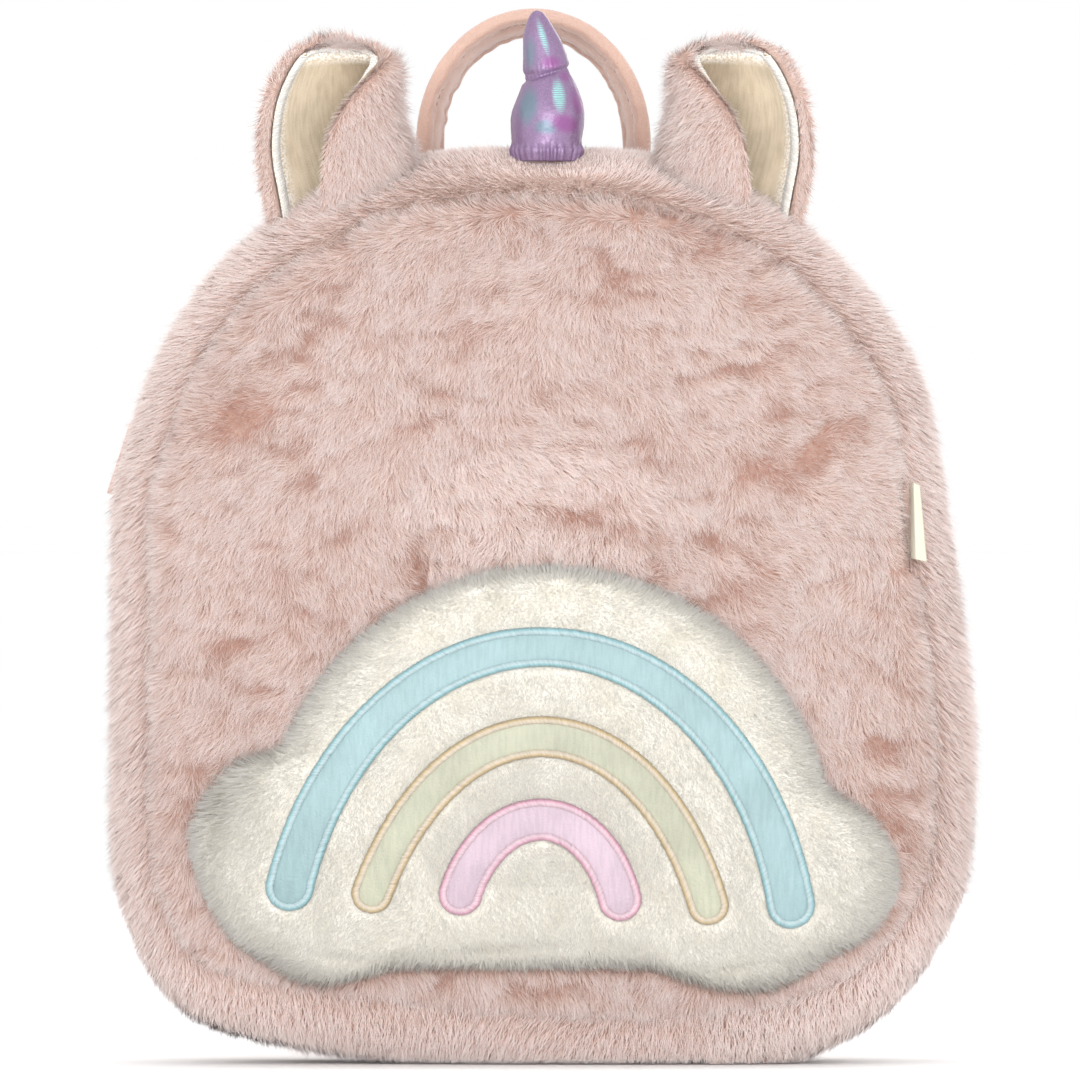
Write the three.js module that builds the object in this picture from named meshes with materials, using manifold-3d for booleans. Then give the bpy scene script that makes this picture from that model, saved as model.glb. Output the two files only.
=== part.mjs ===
// A small child's plush backpack with a unicorn's ears and horn, a padded cloud with a rainbow on its
// front, a carrying loop and two shoulder straps. It stands on its flattened bottom. Millimetres, +Z up,
// front towards -Y, origin on the floor under the middle of the bag.
import * as THREE from "three";
import { mergeVertices } from "three/addons/utils/BufferGeometryUtils.js";
import Module from "manifold-3d";

const wasm = await Module();
wasm.setup();

// Bag body
const BODY_HEIGHT = 278;
const BODY_HALF_WIDTH = 131;
const SEAM_HALF_DEPTH = 42; // the front and back seams lie this far from the middle of the bag
const FRONT_BULGE = 17;
const BACK_BULGE = 7;
const PLUSH_WALL = 6; // backing, padding and the dense lower part of the pile
const BACK_WALL = 4;
const SEAM_INSET_SIDE = 13;
const SEAM_INSET_TOP = 17;
const SEAM_INSET_BOTTOM = 19;
const REST_SINK = 4; // how far the round bottom is pressed flat where it rests
const TUFT_HEIGHT = 1.1; // relief of the fur's locks
const GAP = 0.3; // clearance between pieces that are sewn together

// Zipper in the top of the side band
const ZIP_SLOT_WIDTH = 14;
const ZIP_SETBACK = 10; // towards the back from the middle of the band
const ZIP_TAPE_DEPTH = 3;
const ZIP_TAPE_THICKNESS = 1.2;
const ZIP_CHAIN_WIDTH = 5;
const ZIP_CHAIN_HEIGHT = 1.6;
const ZIP_END_DROP = 128; // from the bag's top down to each end of the zipper
const ZIP_PULL_LENGTH = 24;
const ZIP_PULL_WIDTH = 7;
const ZIP_PULL_THICKNESS = 1.6;

// Cloud and rainbow on the front
const CLOUD_HALF_WIDTH = 103;
const CLOUD_CENTRE_SHARE = 0.241; // share of BODY_HEIGHT
const CLOUD_THICKNESS = 13;
const RAINBOW_THICKNESS = 1.2;
const RAINBOW_RIM_HEIGHT = 0.8;
const RAINBOW_RIM_WIDTH = 3;
const RAINBOW_TILT = -2; // degrees

// Ears
const EAR_HEIGHT = 60;
const EAR_WALL = 5;
const EAR_CUP_DEPTH = 28;
const EAR_SPREAD = 0.4275 * BODY_HALF_WIDTH; // from the middle of the bag to the middle of each ear's foot
const EARS_OFFSET = -2; // both ears are sewn on a little left of the middle
const EAR_FOOT_DROP = 25; // below the bag's top
const EAR_SETBACK = -18;
const LINING_THICKNESS = 1.2;

// Horn
const HORN_HEIGHT = 41;
const HORN_RADIUS = 11.1;
const HORN_OFFSET = 2.5; // sewn a little right of the middle
const HORN_SETBACK = -18;
const HORN_FOOT_DROP = 0; // below the bag's top

// Carrying loop
const LOOP_HALF_WIDTH = 34;
const LOOP_OFFSET = -2.6; // left of the middle
const LOOP_RISE = 38;
const LOOP_FOOT_RISE = 1; // above the bag's top
const LOOP_BAND_WIDTH = 20;
const LOOP_THICKNESS = 5;
const LOOP_SETBACK = SEAM_HALF_DEPTH - 10; // the loop stands just before the back seam
const LOOP_FLARE = 15; // degrees that the band leans, so that its front edge is the wider one

// Shoulder straps
const STRAP_WIDTH = 34;
const STRAP_THICKNESS = 7;
const STRAP_STANDOFF = 30; // how far the hanging strap stands off the back
const WEBBING_WIDTH = 20;
const WEBBING_THICKNESS = 1.6;
const WEBBING_OVERLAP = 16; // how far the webbing is sewn to the underside of the padded strap
const SLIDER_WIDTH = 27;
const SLIDER_HEIGHT = 20;
const SLIDER_THICKNESS = 2;
const SLIDER_BAR = 3;
const SLIDER_DROP = 15; // from the strap's lower end to the middle of the slider

// Side label
const LABEL_LENGTH = 23;
const LABEL_REACH = 5;
const LABEL_THICKNESS = 1;
const LABEL_CENTRE_SHARE = 0.59; // share of BODY_HEIGHT

// The bag's front outline from the bottom up: height as a share of BODY_HEIGHT, reach to the left and to
// the right of the middle as shares of BODY_HALF_WIDTH.
const OUTLINE_ROWS = [
  { height: 0.002, left: 0.0, right: 0.385 },
  { height: 0.014, left: 0.311, right: 0.556 },
  { height: 0.027, left: 0.547, right: 0.644 },
  { height: 0.053, left: 0.779, right: 0.758 },
  { height: 0.094, left: 0.895, right: 0.859 },
  { height: 0.159, left: 0.962, right: 0.95 },
  { height: 0.223, left: 0.994, right: 0.989 },
  { height: 0.353, left: 0.998, right: 1.001 },
  { height: 0.482, left: 0.996, right: 0.973 },
  { height: 0.612, left: 0.994, right: 0.937 },
  { height: 0.677, left: 0.96, right: 0.914 },
  { height: 0.741, left: 0.916, right: 0.884 },
  { height: 0.806, left: 0.847, right: 0.813 },
  { height: 0.871, left: 0.744, right: 0.701 },
  { height: 0.93, left: 0.59, right: 0.56 },
  { height: 0.975, left: 0.4, right: 0.38 },
  { height: 0.998, left: 0.19, right: 0.17 },
];
const BAND_POWER = 2.4; // how roundly the side band bulges between its seams
const FOOT_POWER = 2.6; // added to it where the bag rests, which makes the bottom flatter
const DOME_POWER = 3;
const DOME_EDGE = 0.6;
const PANEL_CENTRE = 0.45; // share of BODY_HEIGHT

// Soft dents of the front: place and size as shares of BODY_HALF_WIDTH and BODY_HEIGHT, depth of FRONT_BULGE.
const FRONT_DENTS = [
  { x: 0.05, z: 0.59, halfWidth: 0.22, halfHeight: 0.035, turn: -8, depth: 0.14 },
  { x: -0.66, z: 0.68, halfWidth: 0.1, halfHeight: 0.06, turn: 30, depth: 0.14 },
  { x: -0.27, z: 0.56, halfWidth: 0.03, halfHeight: 0.07, turn: 12, depth: 0.16 },
  { x: 0.46, z: 0.62, halfWidth: 0.14, halfHeight: 0.04, turn: 38, depth: 0.16 },
  { x: 0.62, z: 0.72, halfWidth: 0.1, halfHeight: 0.05, turn: -20, depth: 0.12 },
  { x: 0.25, z: 0.55, halfWidth: 0.03, halfHeight: 0.05, turn: -10, depth: 0.14 },
  { x: -0.78, z: 0.43, halfWidth: 0.12, halfHeight: 0.03, turn: 15, depth: 0.14 },
  { x: 0.72, z: 0.5, halfWidth: 0.16, halfHeight: 0.03, turn: -12, depth: 0.12 },
];

// The cloud's lobes: centre and radius as shares of CLOUD_HALF_WIDTH, from the cloud's own centre.
const CLOUD_LOBES = [
  { name: "right", x: 0.814, z: -0.091, radius: 0.223 },
  { name: "right_low", x: 0.602, z: -0.18, radius: 0.245 },
  { name: "bottom_right", x: 0.5, z: -0.217, radius: 0.193 },
  { name: "left", x: -0.826, z: 0.014, radius: 0.184 },
  { name: "left_top", x: -0.84, z: 0.197, radius: 0.061 },
  { name: "left_low", x: -0.722, z: -0.088, radius: 0.253 },
  { name: "bottom_left", x: -0.63, z: -0.236, radius: 0.179 },
];
const CLOUD_ARCH = { x: 0.017, z: -0.024, radius: 0.83, base: -0.363, edgePower: 8 };

// Each stripe lies on an ellipse: all lengths are shares of CLOUD_HALF_WIDTH, sweep is degrees each way.
const STRIPES = [
  { hue: "blue", centre: -0.402, halfWidth: 0.754, height: 0.975, sweep: 75, crown: 0.112, foot: 0.138 },
  { hue: "yellow", centre: -0.575, halfWidth: 0.553, height: 0.888, sweep: 62, crown: 0.117, foot: 0.117 },
  { hue: "pink", centre: -0.286, halfWidth: 0.25, height: 0.358, sweep: 68, crown: 0.12, foot: 0.124 },
];

// The ear's sections from foot to tip: both edges' places and the cup as shares of EAR_HEIGHT and
// EAR_CUP_DEPTH, outer edge first, and how far the inner flap folds over to the front, in degrees.
const EAR_ROWS = [
  { outerX: -0.4, outerZ: -0.12, innerX: 0.35, innerZ: 0.22, cup: 0.46, fold: 106 },
  { outerX: -0.43, outerZ: 0.1, innerX: 0.32, innerZ: 0.4, cup: 0.5, fold: 102 },
  { outerX: -0.455, outerZ: 0.33, innerX: 0.28, innerZ: 0.55, cup: 0.5, fold: 90 },
  { outerX: -0.425, outerZ: 0.54, innerX: 0.26, innerZ: 0.66, cup: 0.46, fold: 72 },
  { outerX: -0.35, outerZ: 0.72, innerX: 0.27, innerZ: 0.78, cup: 0.4, fold: 50 },
  { outerX: -0.24, outerZ: 0.88, innerX: 0.23, innerZ: 0.88, cup: 0.3, fold: 28 },
  { outerX: -0.09, outerZ: 0.965, innerX: 0.11, innerZ: 0.955, cup: 0.16, fold: 6 },
];

// The horn's sections from foot to tip: shares of HORN_HEIGHT and HORN_RADIUS.
const HORN_ROWS = [
  { rise: -0.12, radius: 0.84, lean: 0, pleat: 0.06 },
  { rise: 0, radius: 0.92, lean: 0, pleat: 0.05 },
  { rise: 0.07, radius: 0.965, lean: 0, pleat: 0.02 },
  { rise: 0.21, radius: 1, lean: 0.02, pleat: 0 },
  { rise: 0.34, radius: 0.95, lean: 0.04, pleat: 0 },
  { rise: 0.42, radius: 0.86, lean: 0.05, pleat: 0.02 },
  { rise: 0.49, radius: 0.7, lean: 0.04, pleat: 0.06 },
  { rise: 0.525, radius: 0.6, lean: 0.02, pleat: 0.09 },
  { rise: 0.57, radius: 0.63, lean: -0.08, pleat: 0.05 },
  { rise: 0.7, radius: 0.57, lean: -0.18, pleat: 0 },
  { rise: 0.84, radius: 0.46, lean: -0.28, pleat: 0 },
  { rise: 0.93, radius: 0.33, lean: -0.3, pleat: 0 },
  { rise: 0.98, radius: 0.19, lean: -0.3, pleat: 0 },
];
const HORN_WAIST_TILT = 6; // degrees

// A hanging strap's middle line: across and up as shares of BODY_HALF_WIDTH and BODY_HEIGHT, and off the
// back as a share of STRAP_STANDOFF.
const STRAP_LINE = [
  { across: 0.2, off: -0.4, up: 0.875 },
  { across: 0.205, off: 0.35, up: 0.893 },
  { across: 0.235, off: 0.85, up: 0.84 },
  { across: 0.29, off: 1, up: 0.72 },
  { across: 0.35, off: 0.98, up: 0.58 },
  { across: 0.41, off: 0.82, up: 0.45 },
  { across: 0.45, off: 0.62, up: 0.355 },
];
const WEBBING_TAIL = [
  { across: 0.53, off: 0.32, up: 0.2 },
  { across: 0.59, off: 0.14, up: 0.15 },
  { across: 0.64, off: -0.35, up: 0.125 },
];

const AROUND = 58; // points around the bag's outline

const COLOURS = {
  plush: 0xd0beb7,
  velour: 0xd3a99b,
  cream: 0xe2dfd3,
  blue: 0xb4dce2,
  yellow: 0xe0dfc0,
  pink: 0xe8cbdc,
  lining: 0xc9b494,
  horn: 0xa98fbd,
  label: 0xe4dfc6,
  zipper: 0xd9b9ad,
  plastic: 0xd8b4a8,
};

const degrees = THREE.MathUtils.degToRad;
const mix = THREE.MathUtils.lerp;

// A repeatable number from 0 to 1 for the lock at row and column of a grid.
function scatter(row, column) {
  const wave = Math.sin(row * 12.9898 + column * 78.233) * 43758.5453;
  return wave - Math.floor(wave);
}

// One closed body skinned over rings of equal length. It wraps from the last ring to the first, or else
// each end is closed by a fan to its middle.
function skin(rings, wraps = false) {
  const count = rings[0].length;
  const points = rings.flat();
  const faces = [];
  const bands = wraps ? rings.length : rings.length - 1;
  for (let r = 0; r < bands; r++) {
    const here = r * count;
    const next = ((r + 1) % rings.length) * count;
    for (let i = 0; i < count; i++) {
      const j = (i + 1) % count;
      faces.push(here + i, here + j, next + j, here + i, next + j, next + i);
    }
  }
  if (!wraps) {
    const ends = [
      { ring: rings[0], start: 0, flip: true },
      { ring: rings.at(-1), start: (rings.length - 1) * count, flip: false },
    ];
    for (const { ring, start, flip } of ends) {
      const middle = ring.reduce((sum, p) => sum.add(p), new THREE.Vector3()).divideScalar(count);
      const pole = points.push(middle) - 1;
      for (let i = 0; i < count; i++) {
        const j = (i + 1) % count;
        faces.push(...(flip ? [pole, start + j, start + i] : [pole, start + i, start + j]));
      }
    }
  }
  return outwards(points, faces);
}

// A merged geometry whose faces point out of the body, whichever way its rings ran.
function outwards(points, faces) {
  let volume = 0;
  for (let f = 0; f < faces.length; f += 3) {
    const [a, b, c] = [points[faces[f]], points[faces[f + 1]], points[faces[f + 2]]];
    volume += a.dot(b.clone().cross(c));
  }
  if (volume < 0) {
    for (let f = 0; f < faces.length; f += 3) [faces[f + 1], faces[f + 2]] = [faces[f + 2], faces[f + 1]];
  }
  const geometry = new THREE.BufferGeometry().setFromPoints(points).setIndex(faces);
  return mergeVertices(geometry, 1e-3);
}

function toSolid(geometry) {
  const plain = geometry.clone();
  plain.deleteAttribute("normal");
  plain.deleteAttribute("uv");
  const merged = mergeVertices(plain, 1e-3);
  return new wasm.Manifold(
    new wasm.Mesh({
      numProp: 3,
      vertProperties: merged.attributes.position.array,
      triVerts: new Uint32Array(merged.index.array),
    }),
  );
}

function toGeometry(solid) {
  const { vertProperties, triVerts } = solid.getMesh();
  return new THREE.BufferGeometry()
    .setAttribute("position", new THREE.BufferAttribute(vertProperties, 3))
    .setIndex(new THREE.BufferAttribute(triVerts, 1));
}

// What is left of a piece outside the bag, so that it seats on the fur with the sewing gap.
function seatedOn(geometry, cutter) {
  return toGeometry(toSolid(geometry).subtract(cutter));
}

// A place on the bag's widest outline, in x and z, sunk a little where the bag rests.
function outlinePlace(reach, height) {
  const z = height * BODY_HEIGHT;
  const pressed = REST_SINK * Math.max(0, 1 - z / (8 * REST_SINK));
  return new THREE.Vector2(reach * BODY_HALF_WIDTH, z - pressed);
}

// Evenly spaced points of the outline, anticlockwise from the bottom, each with its outward normal.
function outlineStations(count) {
  const right = OUTLINE_ROWS.map((row) => outlinePlace(row.right, row.height));
  const left = OUTLINE_ROWS.toReversed().map((row) => outlinePlace(-row.left, row.height));
  const smooth = new THREE.SplineCurve([...right, ...left, right[0]]).getPoints(720);
  const even = new THREE.Path(smooth).getSpacedPoints(count).slice(0, count);
  return even.map((at, i) => {
    const along = even[(i + 1) % count].clone().sub(even.at(i - 1));
    return { at, normal: new THREE.Vector2(along.y, -along.x).normalize() };
  });
}
const OUTLINE = outlineStations(AROUND);

// The station of the outline nearest to a height, on the side whose sign is given.
function stationAt(side, height) {
  const far = ({ at }) => (at.x * side > 0 ? Math.abs(at.y - height) : Infinity);
  return OUTLINE.reduce((best, next) => (far(next) < far(best) ? next : best));
}

function seamInset({ normal }) {
  const end = normal.y > 0 ? SEAM_INSET_TOP : SEAM_INSET_BOTTOM;
  return mix(SEAM_INSET_SIDE, end, normal.y ** 2);
}

// The side band, across from -1 at the front seam to 1 at the back seam, and depth into the wall.
function bandPoint(station, across, depth) {
  const power = BAND_POWER + FOOT_POWER * Math.min(station.normal.y, 0) ** 2;
  const inset = seamInset(station) * Math.abs(across) ** power + depth;
  const at = station.at.clone().addScaledVector(station.normal, -inset);
  const seam = SEAM_HALF_DEPTH - GAP / 2;
  return new THREE.Vector3(at.x, across * seam, Math.max(at.y, depth, 0));
}

const CENTRE = new THREE.Vector2(0, BODY_HEIGHT * PANEL_CENTRE);
const CLOUD_HEIGHT = BODY_HEIGHT * CLOUD_CENTRE_SHARE;
const LABEL_HEIGHT = BODY_HEIGHT * LABEL_CENTRE_SHARE;
const ZIP_END_HEIGHT = BODY_HEIGHT - ZIP_END_DROP;
const LOOP_FOOT_HEIGHT = BODY_HEIGHT + LOOP_FOOT_RISE;

// The seam of a panel, as a distance from the panel's centre for each direction.
const SEAM_REACH = outlineStations(360).map((station) => {
  const arm = station.at.clone().addScaledVector(station.normal, -seamInset(station)).sub(CENTRE);
  return { angle: arm.angle(), reach: arm.length() };
}).sort((a, b) => a.angle - b.angle);

function seamReach(angle) {
  const turn = (angle + 2 * Math.PI) % (2 * Math.PI);
  const after = SEAM_REACH.findIndex((row) => row.angle > turn);
  const [a, b] = [SEAM_REACH.at(after - 1), SEAM_REACH.at(Math.max(after, 0))];
  const step = (b.angle - a.angle + 2 * Math.PI) % (2 * Math.PI);
  const share = ((turn - a.angle + 2 * Math.PI) % (2 * Math.PI)) / step;
  return mix(a.reach, b.reach, share);
}

const dome = (share) => (1 - Math.min(share, 1) ** DOME_POWER) ** DOME_EDGE;

// How far the front is pushed in at x and z by its soft dents.
function dentDepth(x, z) {
  return FRONT_DENTS.reduce((sum, dent) => {
    const from = new THREE.Vector2(x - dent.x * BODY_HALF_WIDTH, z - dent.z * BODY_HEIGHT);
    from.rotateAround(new THREE.Vector2(), -degrees(dent.turn));
    from.divide(new THREE.Vector2(dent.halfWidth * BODY_HALF_WIDTH, dent.halfHeight * BODY_HEIGHT));
    return sum + dent.depth * FRONT_BULGE * Math.exp(-from.lengthSq());
  }, 0);
}

// Depth y of the front's smooth surface at x and z.
function frontY(x, z) {
  const arm = new THREE.Vector2(x, z).sub(CENTRE);
  const share = arm.length() / seamReach(arm.angle());
  return -SEAM_HALF_DEPTH - FRONT_BULGE * dome(share) + dentDepth(x, z) * dome(share);
}

// Distance from the cloud's centre to its edge in one direction: the furthest lobe that the ray leaves.
function cloudReach(angle) {
  const ray = new THREE.Vector2(Math.cos(angle), Math.sin(angle));
  const leave = ({ x, z, radius }) => {
    const middle = new THREE.Vector2(x, z);
    const along = middle.dot(ray);
    const under = radius ** 2 - (middle.lengthSq() - along ** 2);
    return under < 0 ? 0 : along + Math.sqrt(under);
  };
  const floor = ray.y < 0 ? CLOUD_ARCH.base / ray.y : Infinity;
  const arch = Math.min(leave(CLOUD_ARCH), floor);
  const blend = 24;
  const reaches = [arch, ...CLOUD_LOBES.map(leave)];
  const smooth = Math.log(reaches.reduce((sum, reach) => sum + Math.exp(blend * reach), 0)) / blend;
  return CLOUD_HALF_WIDTH * Math.min(smooth, Math.max(...reaches) + 0.02);
}

function cloudShare(x, z) {
  const arm = new THREE.Vector2(x, z - CLOUD_HEIGHT);
  return arm.length() / cloudReach(arm.angle());
}

const cloudPuff = (share) => Math.sqrt(Math.max(0, 1 - Math.min(share, 1) ** CLOUD_ARCH.edgePower));

// Depth y of the cloud's front at x and z.
function cloudFrontY(x, z) {
  return frontY(x, z) - GAP - CLOUD_THICKNESS * cloudPuff(cloudShare(x, z));
}

// Height of the fur's locks on the bag. The pile is pressed flat under the cloud.
function tuft(point, row, column) {
  const hidden = point.y < -SEAM_HALF_DEPTH && cloudShare(point.x, point.z) < 1.12;
  return hidden ? 0 : TUFT_HEIGHT * scatter(row, column);
}

// A front or back panel, share from 0 at its centre to 1 at its seam. side is -1 for the front.
function panelPoint(side, station, share, depth) {
  const rim = station.at.clone().addScaledVector(station.normal, -seamInset(station) - depth);
  const at = CENTRE.clone().lerp(rim, share);
  const bulge = side < 0 ? FRONT_BULGE : BACK_BULGE;
  const dent = side < 0 ? dentDepth(at.x, at.y) : 0;
  const y = SEAM_HALF_DEPTH + GAP / 2 + (bulge - depth - dent) * dome(share);
  return new THREE.Vector3(at.x, side * y, at.y);
}

const PANEL_SHARES = [0.12, 0.28, 0.42, 0.55, 0.66, 0.76, 0.84, 0.9, 0.945, 0.975, 0.993, 1];
const BACK_SHARES = [0.4, 0.76, 0.9, 0.975, 1];
const INNER_SHARES = [1, 0.95, 0.8, 0.4];
const BAND_SHARES = [-1, -0.88, -0.68, -0.4, 0, 0.4, 0.68, 0.88, 1];
const INNER_BAND_SHARES = [1, 0.5, -0.5, -1];

const panelRing = (side, share, depthOf) =>
  OUTLINE.map((station, i) => panelPoint(side, station, share, depthOf(station, i)));

function frontRing(share, row, growth = 0) {
  return panelRing(-1, share, (station, i) => {
    const fading = 1 - share ** 12;
    return -growth - fading * tuft(panelPoint(-1, station, share, 0), row, i);
  });
}

function frontPanel() {
  const outer = PANEL_SHARES.map((share, row) => frontRing(share, row));
  const inner = INNER_SHARES.map((share) => panelRing(-1, share, () => PLUSH_WALL));
  return skin([...outer, ...inner]);
}

function backPanel() {
  const outer = BACK_SHARES.map((share) => panelRing(1, share, () => 0));
  const inner = INNER_SHARES.map((share) => panelRing(1, share, () => BACK_WALL));
  return skin([...outer, ...inner]);
}

// One section of the side band's outer face, with the fur's locks between the seams.
function bandEdge(station, i, growth = 0) {
  return BAND_SHARES.map((across, row) => {
    const lock = Math.abs(across) < 1 ? tuft(bandPoint(station, across, 0), row + 40, i) : 0;
    return bandPoint(station, across, -growth - lock);
  });
}

// A rail swept round the top of the band between the zipper's two ends. corners give the section as
// y from the zipper's middle and depth into the wall.
function zipperRail(corners, stretch = 0) {
  const top = OUTLINE.filter(({ at }) => at.y > ZIP_END_HEIGHT);
  const across = ZIP_SETBACK / SEAM_HALF_DEPTH;
  return skin(top.map((station, i) => corners.map(({ y, depth }) => {
    const point = bandPoint(station, across, depth);
    point.y = ZIP_SETBACK + y;
    if (i === 0 || i === top.length - 1) point.z -= stretch;
    return point;
  })));
}

function sideBand() {
  const sections = OUTLINE.map((station, i) => [
    ...bandEdge(station, i),
    ...INNER_BAND_SHARES.map((across) => bandPoint(station, across, PLUSH_WALL)),
  ]);
  const [half, out] = [ZIP_SLOT_WIDTH / 2, 2 * PLUSH_WALL];
  const slot = zipperRail([
    { y: -half, depth: -out },
    { y: half, depth: -out },
    { y: half, depth: out },
    { y: -half, depth: out },
  ], GAP);
  return toGeometry(toSolid(skin(sections, true)).subtract(toSolid(slot)));
}

function zipper() {
  const [half, chain] = [ZIP_SLOT_WIDTH / 2 - GAP, ZIP_CHAIN_WIDTH / 2];
  const [face, back] = [ZIP_TAPE_DEPTH, ZIP_TAPE_DEPTH + ZIP_TAPE_THICKNESS];
  const top = face - ZIP_CHAIN_HEIGHT;
  return zipperRail([
    { y: -half, depth: back },
    { y: -half, depth: face },
    { y: -chain, depth: face },
    { y: -chain * 0.7, depth: top },
    { y: chain * 0.7, depth: top },
    { y: chain, depth: face },
    { y: half, depth: face },
    { y: half, depth: back },
  ]);
}

// The zipper's slider with its pull tab, one plain piece at the left end of the chain.
function zipPull() {
  const tab = new THREE.Shape();
  const half = ZIP_PULL_WIDTH / 2;
  const waist = half * 0.6;
  tab.moveTo(-half, 0);
  tab.lineTo(half, 0);
  tab.lineTo(half, -ZIP_PULL_WIDTH);
  tab.lineTo(waist, -ZIP_PULL_WIDTH - half);
  tab.lineTo(waist, half - ZIP_PULL_LENGTH);
  tab.absarc(0, half - ZIP_PULL_LENGTH, waist, 0, -Math.PI, true);
  tab.lineTo(-waist, -ZIP_PULL_WIDTH - half);
  tab.lineTo(-half, -ZIP_PULL_WIDTH);
  tab.closePath();
  const depth = ZIP_PULL_THICKNESS;
  return new THREE.ExtrudeGeometry(tab, { depth, bevelEnabled: false, curveSegments: 6 });
}

const CLOUD_SHARES = [0.25, 0.5, 0.68, 0.8, 0.88, 0.94, 0.98, 1];
const CLOUD_BACK_SHARES = [1, 0.5];

function cloudRing(share, yOf) {
  return Array.from({ length: AROUND }, (_, i) => {
    const angle = (i / AROUND) * 2 * Math.PI;
    const reach = share * cloudReach(angle);
    const [x, z] = [reach * Math.cos(angle), CLOUD_HEIGHT + reach * Math.sin(angle)];
    return new THREE.Vector3(x, yOf(x, z, i), z);
  });
}

// The cloud, sunk into the bag and then cut by it.
function cloudPatch() {
  const front = CLOUD_SHARES.map((share, row) => cloudRing(share, (x, z, i) => {
    const lock = share > 0.85 && share < 1 ? TUFT_HEIGHT * scatter(row + 80, i) : 0;
    return cloudFrontY(x, z) - lock;
  }));
  const edge = cloudRing(1, (x, z) => frontY(x, z) - GAP - CLOUD_THICKNESS * 0.25);
  const back = CLOUD_BACK_SHARES.map((share) => cloudRing(share, (x, z) => frontY(x, z) + PLUSH_WALL / 2));
  return skin([...front.slice(0, -1), edge, ...back]);
}

// A stripe of the rainbow: its section is carried along an ellipse and ends in round feet, and each point
// is laid on the cloud's front.
function stripe({ centre, halfWidth, height, sweep, crown, foot }) {
  const size = CLOUD_HALF_WIDTH;
  const middle = new THREE.Vector2(0, centre * size);
  const along = Array.from({ length: 21 }, (_, i) => i / 10 - 1);
  const ends = [0.5, 0.84, 0.97];
  const stations = [
    ...ends.toReversed().map((end) => ({ turn: -1, end })),
    ...along.map((turn) => ({ turn, end: 0 })),
    ...ends.map((end) => ({ turn: 1, end })),
  ];
  const rim = RAINBOW_RIM_WIDTH;
  return skin(stations.map(({ turn, end }) => {
    const phi = degrees(sweep) * turn;
    const half = (mix(crown, foot, Math.abs(turn)) * size) / 2;
    const at = new THREE.Vector2(halfWidth * Math.sin(phi), height * Math.cos(phi));
    at.multiplyScalar(size).add(middle);
    const tangent = new THREE.Vector2(halfWidth * Math.cos(phi), -height * Math.sin(phi)).normalize();
    const normal = new THREE.Vector2(-tangent.y, tangent.x);
    at.addScaledVector(tangent, Math.sign(turn) * half * end);
    const wide = half * Math.sqrt(1 - end ** 2);
    const slope = Math.max(wide - rim, wide * 0.2);
    const low = 1.5 * GAP;
    const face = low + RAINBOW_THICKNESS;
    const crest = face + RAINBOW_RIM_HEIGHT;
    const section = [
      { w: -wide, out: low },
      { w: -wide, out: face },
      { w: -(wide + slope) / 2, out: crest },
      { w: -slope, out: face },
      { w: slope, out: face },
      { w: (wide + slope) / 2, out: crest },
      { w: wide, out: face },
      { w: wide, out: low },
      { w: 0, out: low },
    ];
    return section.map(({ w, out }) => {
      const flat = at.clone().addScaledVector(normal, w);
      flat.rotateAround(new THREE.Vector2(), degrees(RAINBOW_TILT));
      const z = CLOUD_HEIGHT + flat.y;
      return new THREE.Vector3(flat.x, cloudFrontY(flat.x, z) - out, z);
    });
  }));
}

// A smooth row between the ear's sections, at a share of the way from foot to tip.
function earRow(share) {
  const place = share * (EAR_ROWS.length - 1);
  const k = Math.min(Math.floor(place), EAR_ROWS.length - 2);
  const around = [-1, 0, 1, 2].map((step) => EAR_ROWS[Math.min(Math.max(k + step, 0), EAR_ROWS.length - 1)]);
  const spline = (key) => {
    const knots = around.map((row) => row[key]);
    const t = place - k;
    const [a, b, c, d] = knots;
    const [slope, bend, twist] = [c - a, 2 * a - 5 * b + 4 * c - d, 3 * b - a - 3 * c + d];
    return b + 0.5 * (slope * t + bend * t ** 2 + twist * t ** 3);
  };
  return Object.fromEntries(Object.keys(EAR_ROWS[0]).map((key) => [key, spline(key)]));
}

// A point of the left ear. angle goes from 180 at the outer edge, round the back, to 360 plus the fold at
// the edge of the inner flap. depth is the distance in from the ear's outer face, lift is towards the front.
function earPoint(row, angle, depth, lift = 0) {
  const outer = new THREE.Vector2(row.outerX, row.outerZ).multiplyScalar(EAR_HEIGHT);
  const inner = new THREE.Vector2(row.innerX, row.innerZ).multiplyScalar(EAR_HEIGHT);
  const chord = inner.clone().sub(outer);
  const half = chord.length() / 2;
  const middle = outer.add(inner).divideScalar(2);
  const radii = [half, row.cup * EAR_CUP_DEPTH];
  const [wide, deep] = radii.map((radius) => Math.max(radius - depth, 0.12 * radius));
  middle.addScaledVector(chord.normalize(), wide * Math.cos(degrees(angle)));
  return new THREE.Vector3(
    -EAR_SPREAD + middle.x,
    EAR_SETBACK - deep * Math.sin(degrees(angle)) - lift,
    BODY_HEIGHT - EAR_FOOT_DROP + middle.y,
  );
}

// One closed section of a sheet bent round the ear's cup, between two depths, with rounded edges.
function earSection(row, depths, angles, edge) {
  const [from, to] = depths;
  const turns = Array.from({ length: 10 }, (_, i) => mix(angles[0], angles[1], i / 9));
  const last = angles[1];
  return [
    ...turns.map((angle) => earPoint(row, angle, from)),
    earPoint(row, last + edge, (from + to) / 2),
    ...turns.toReversed().map((angle) => earPoint(row, angle, to)),
    earPoint(row, angles[0], (from + to) / 2, ((to - from) / 2) * Math.sign(edge)),
  ];
}

const EAR_STATIONS = Array.from({ length: 11 }, (_, i) => i / 10);

function ear() {
  return skin(EAR_STATIONS.map((share) => {
    const row = earRow(share);
    return earSection(row, [0, EAR_WALL], [180, 360 + row.fold], 6);
  }));
}

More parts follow.
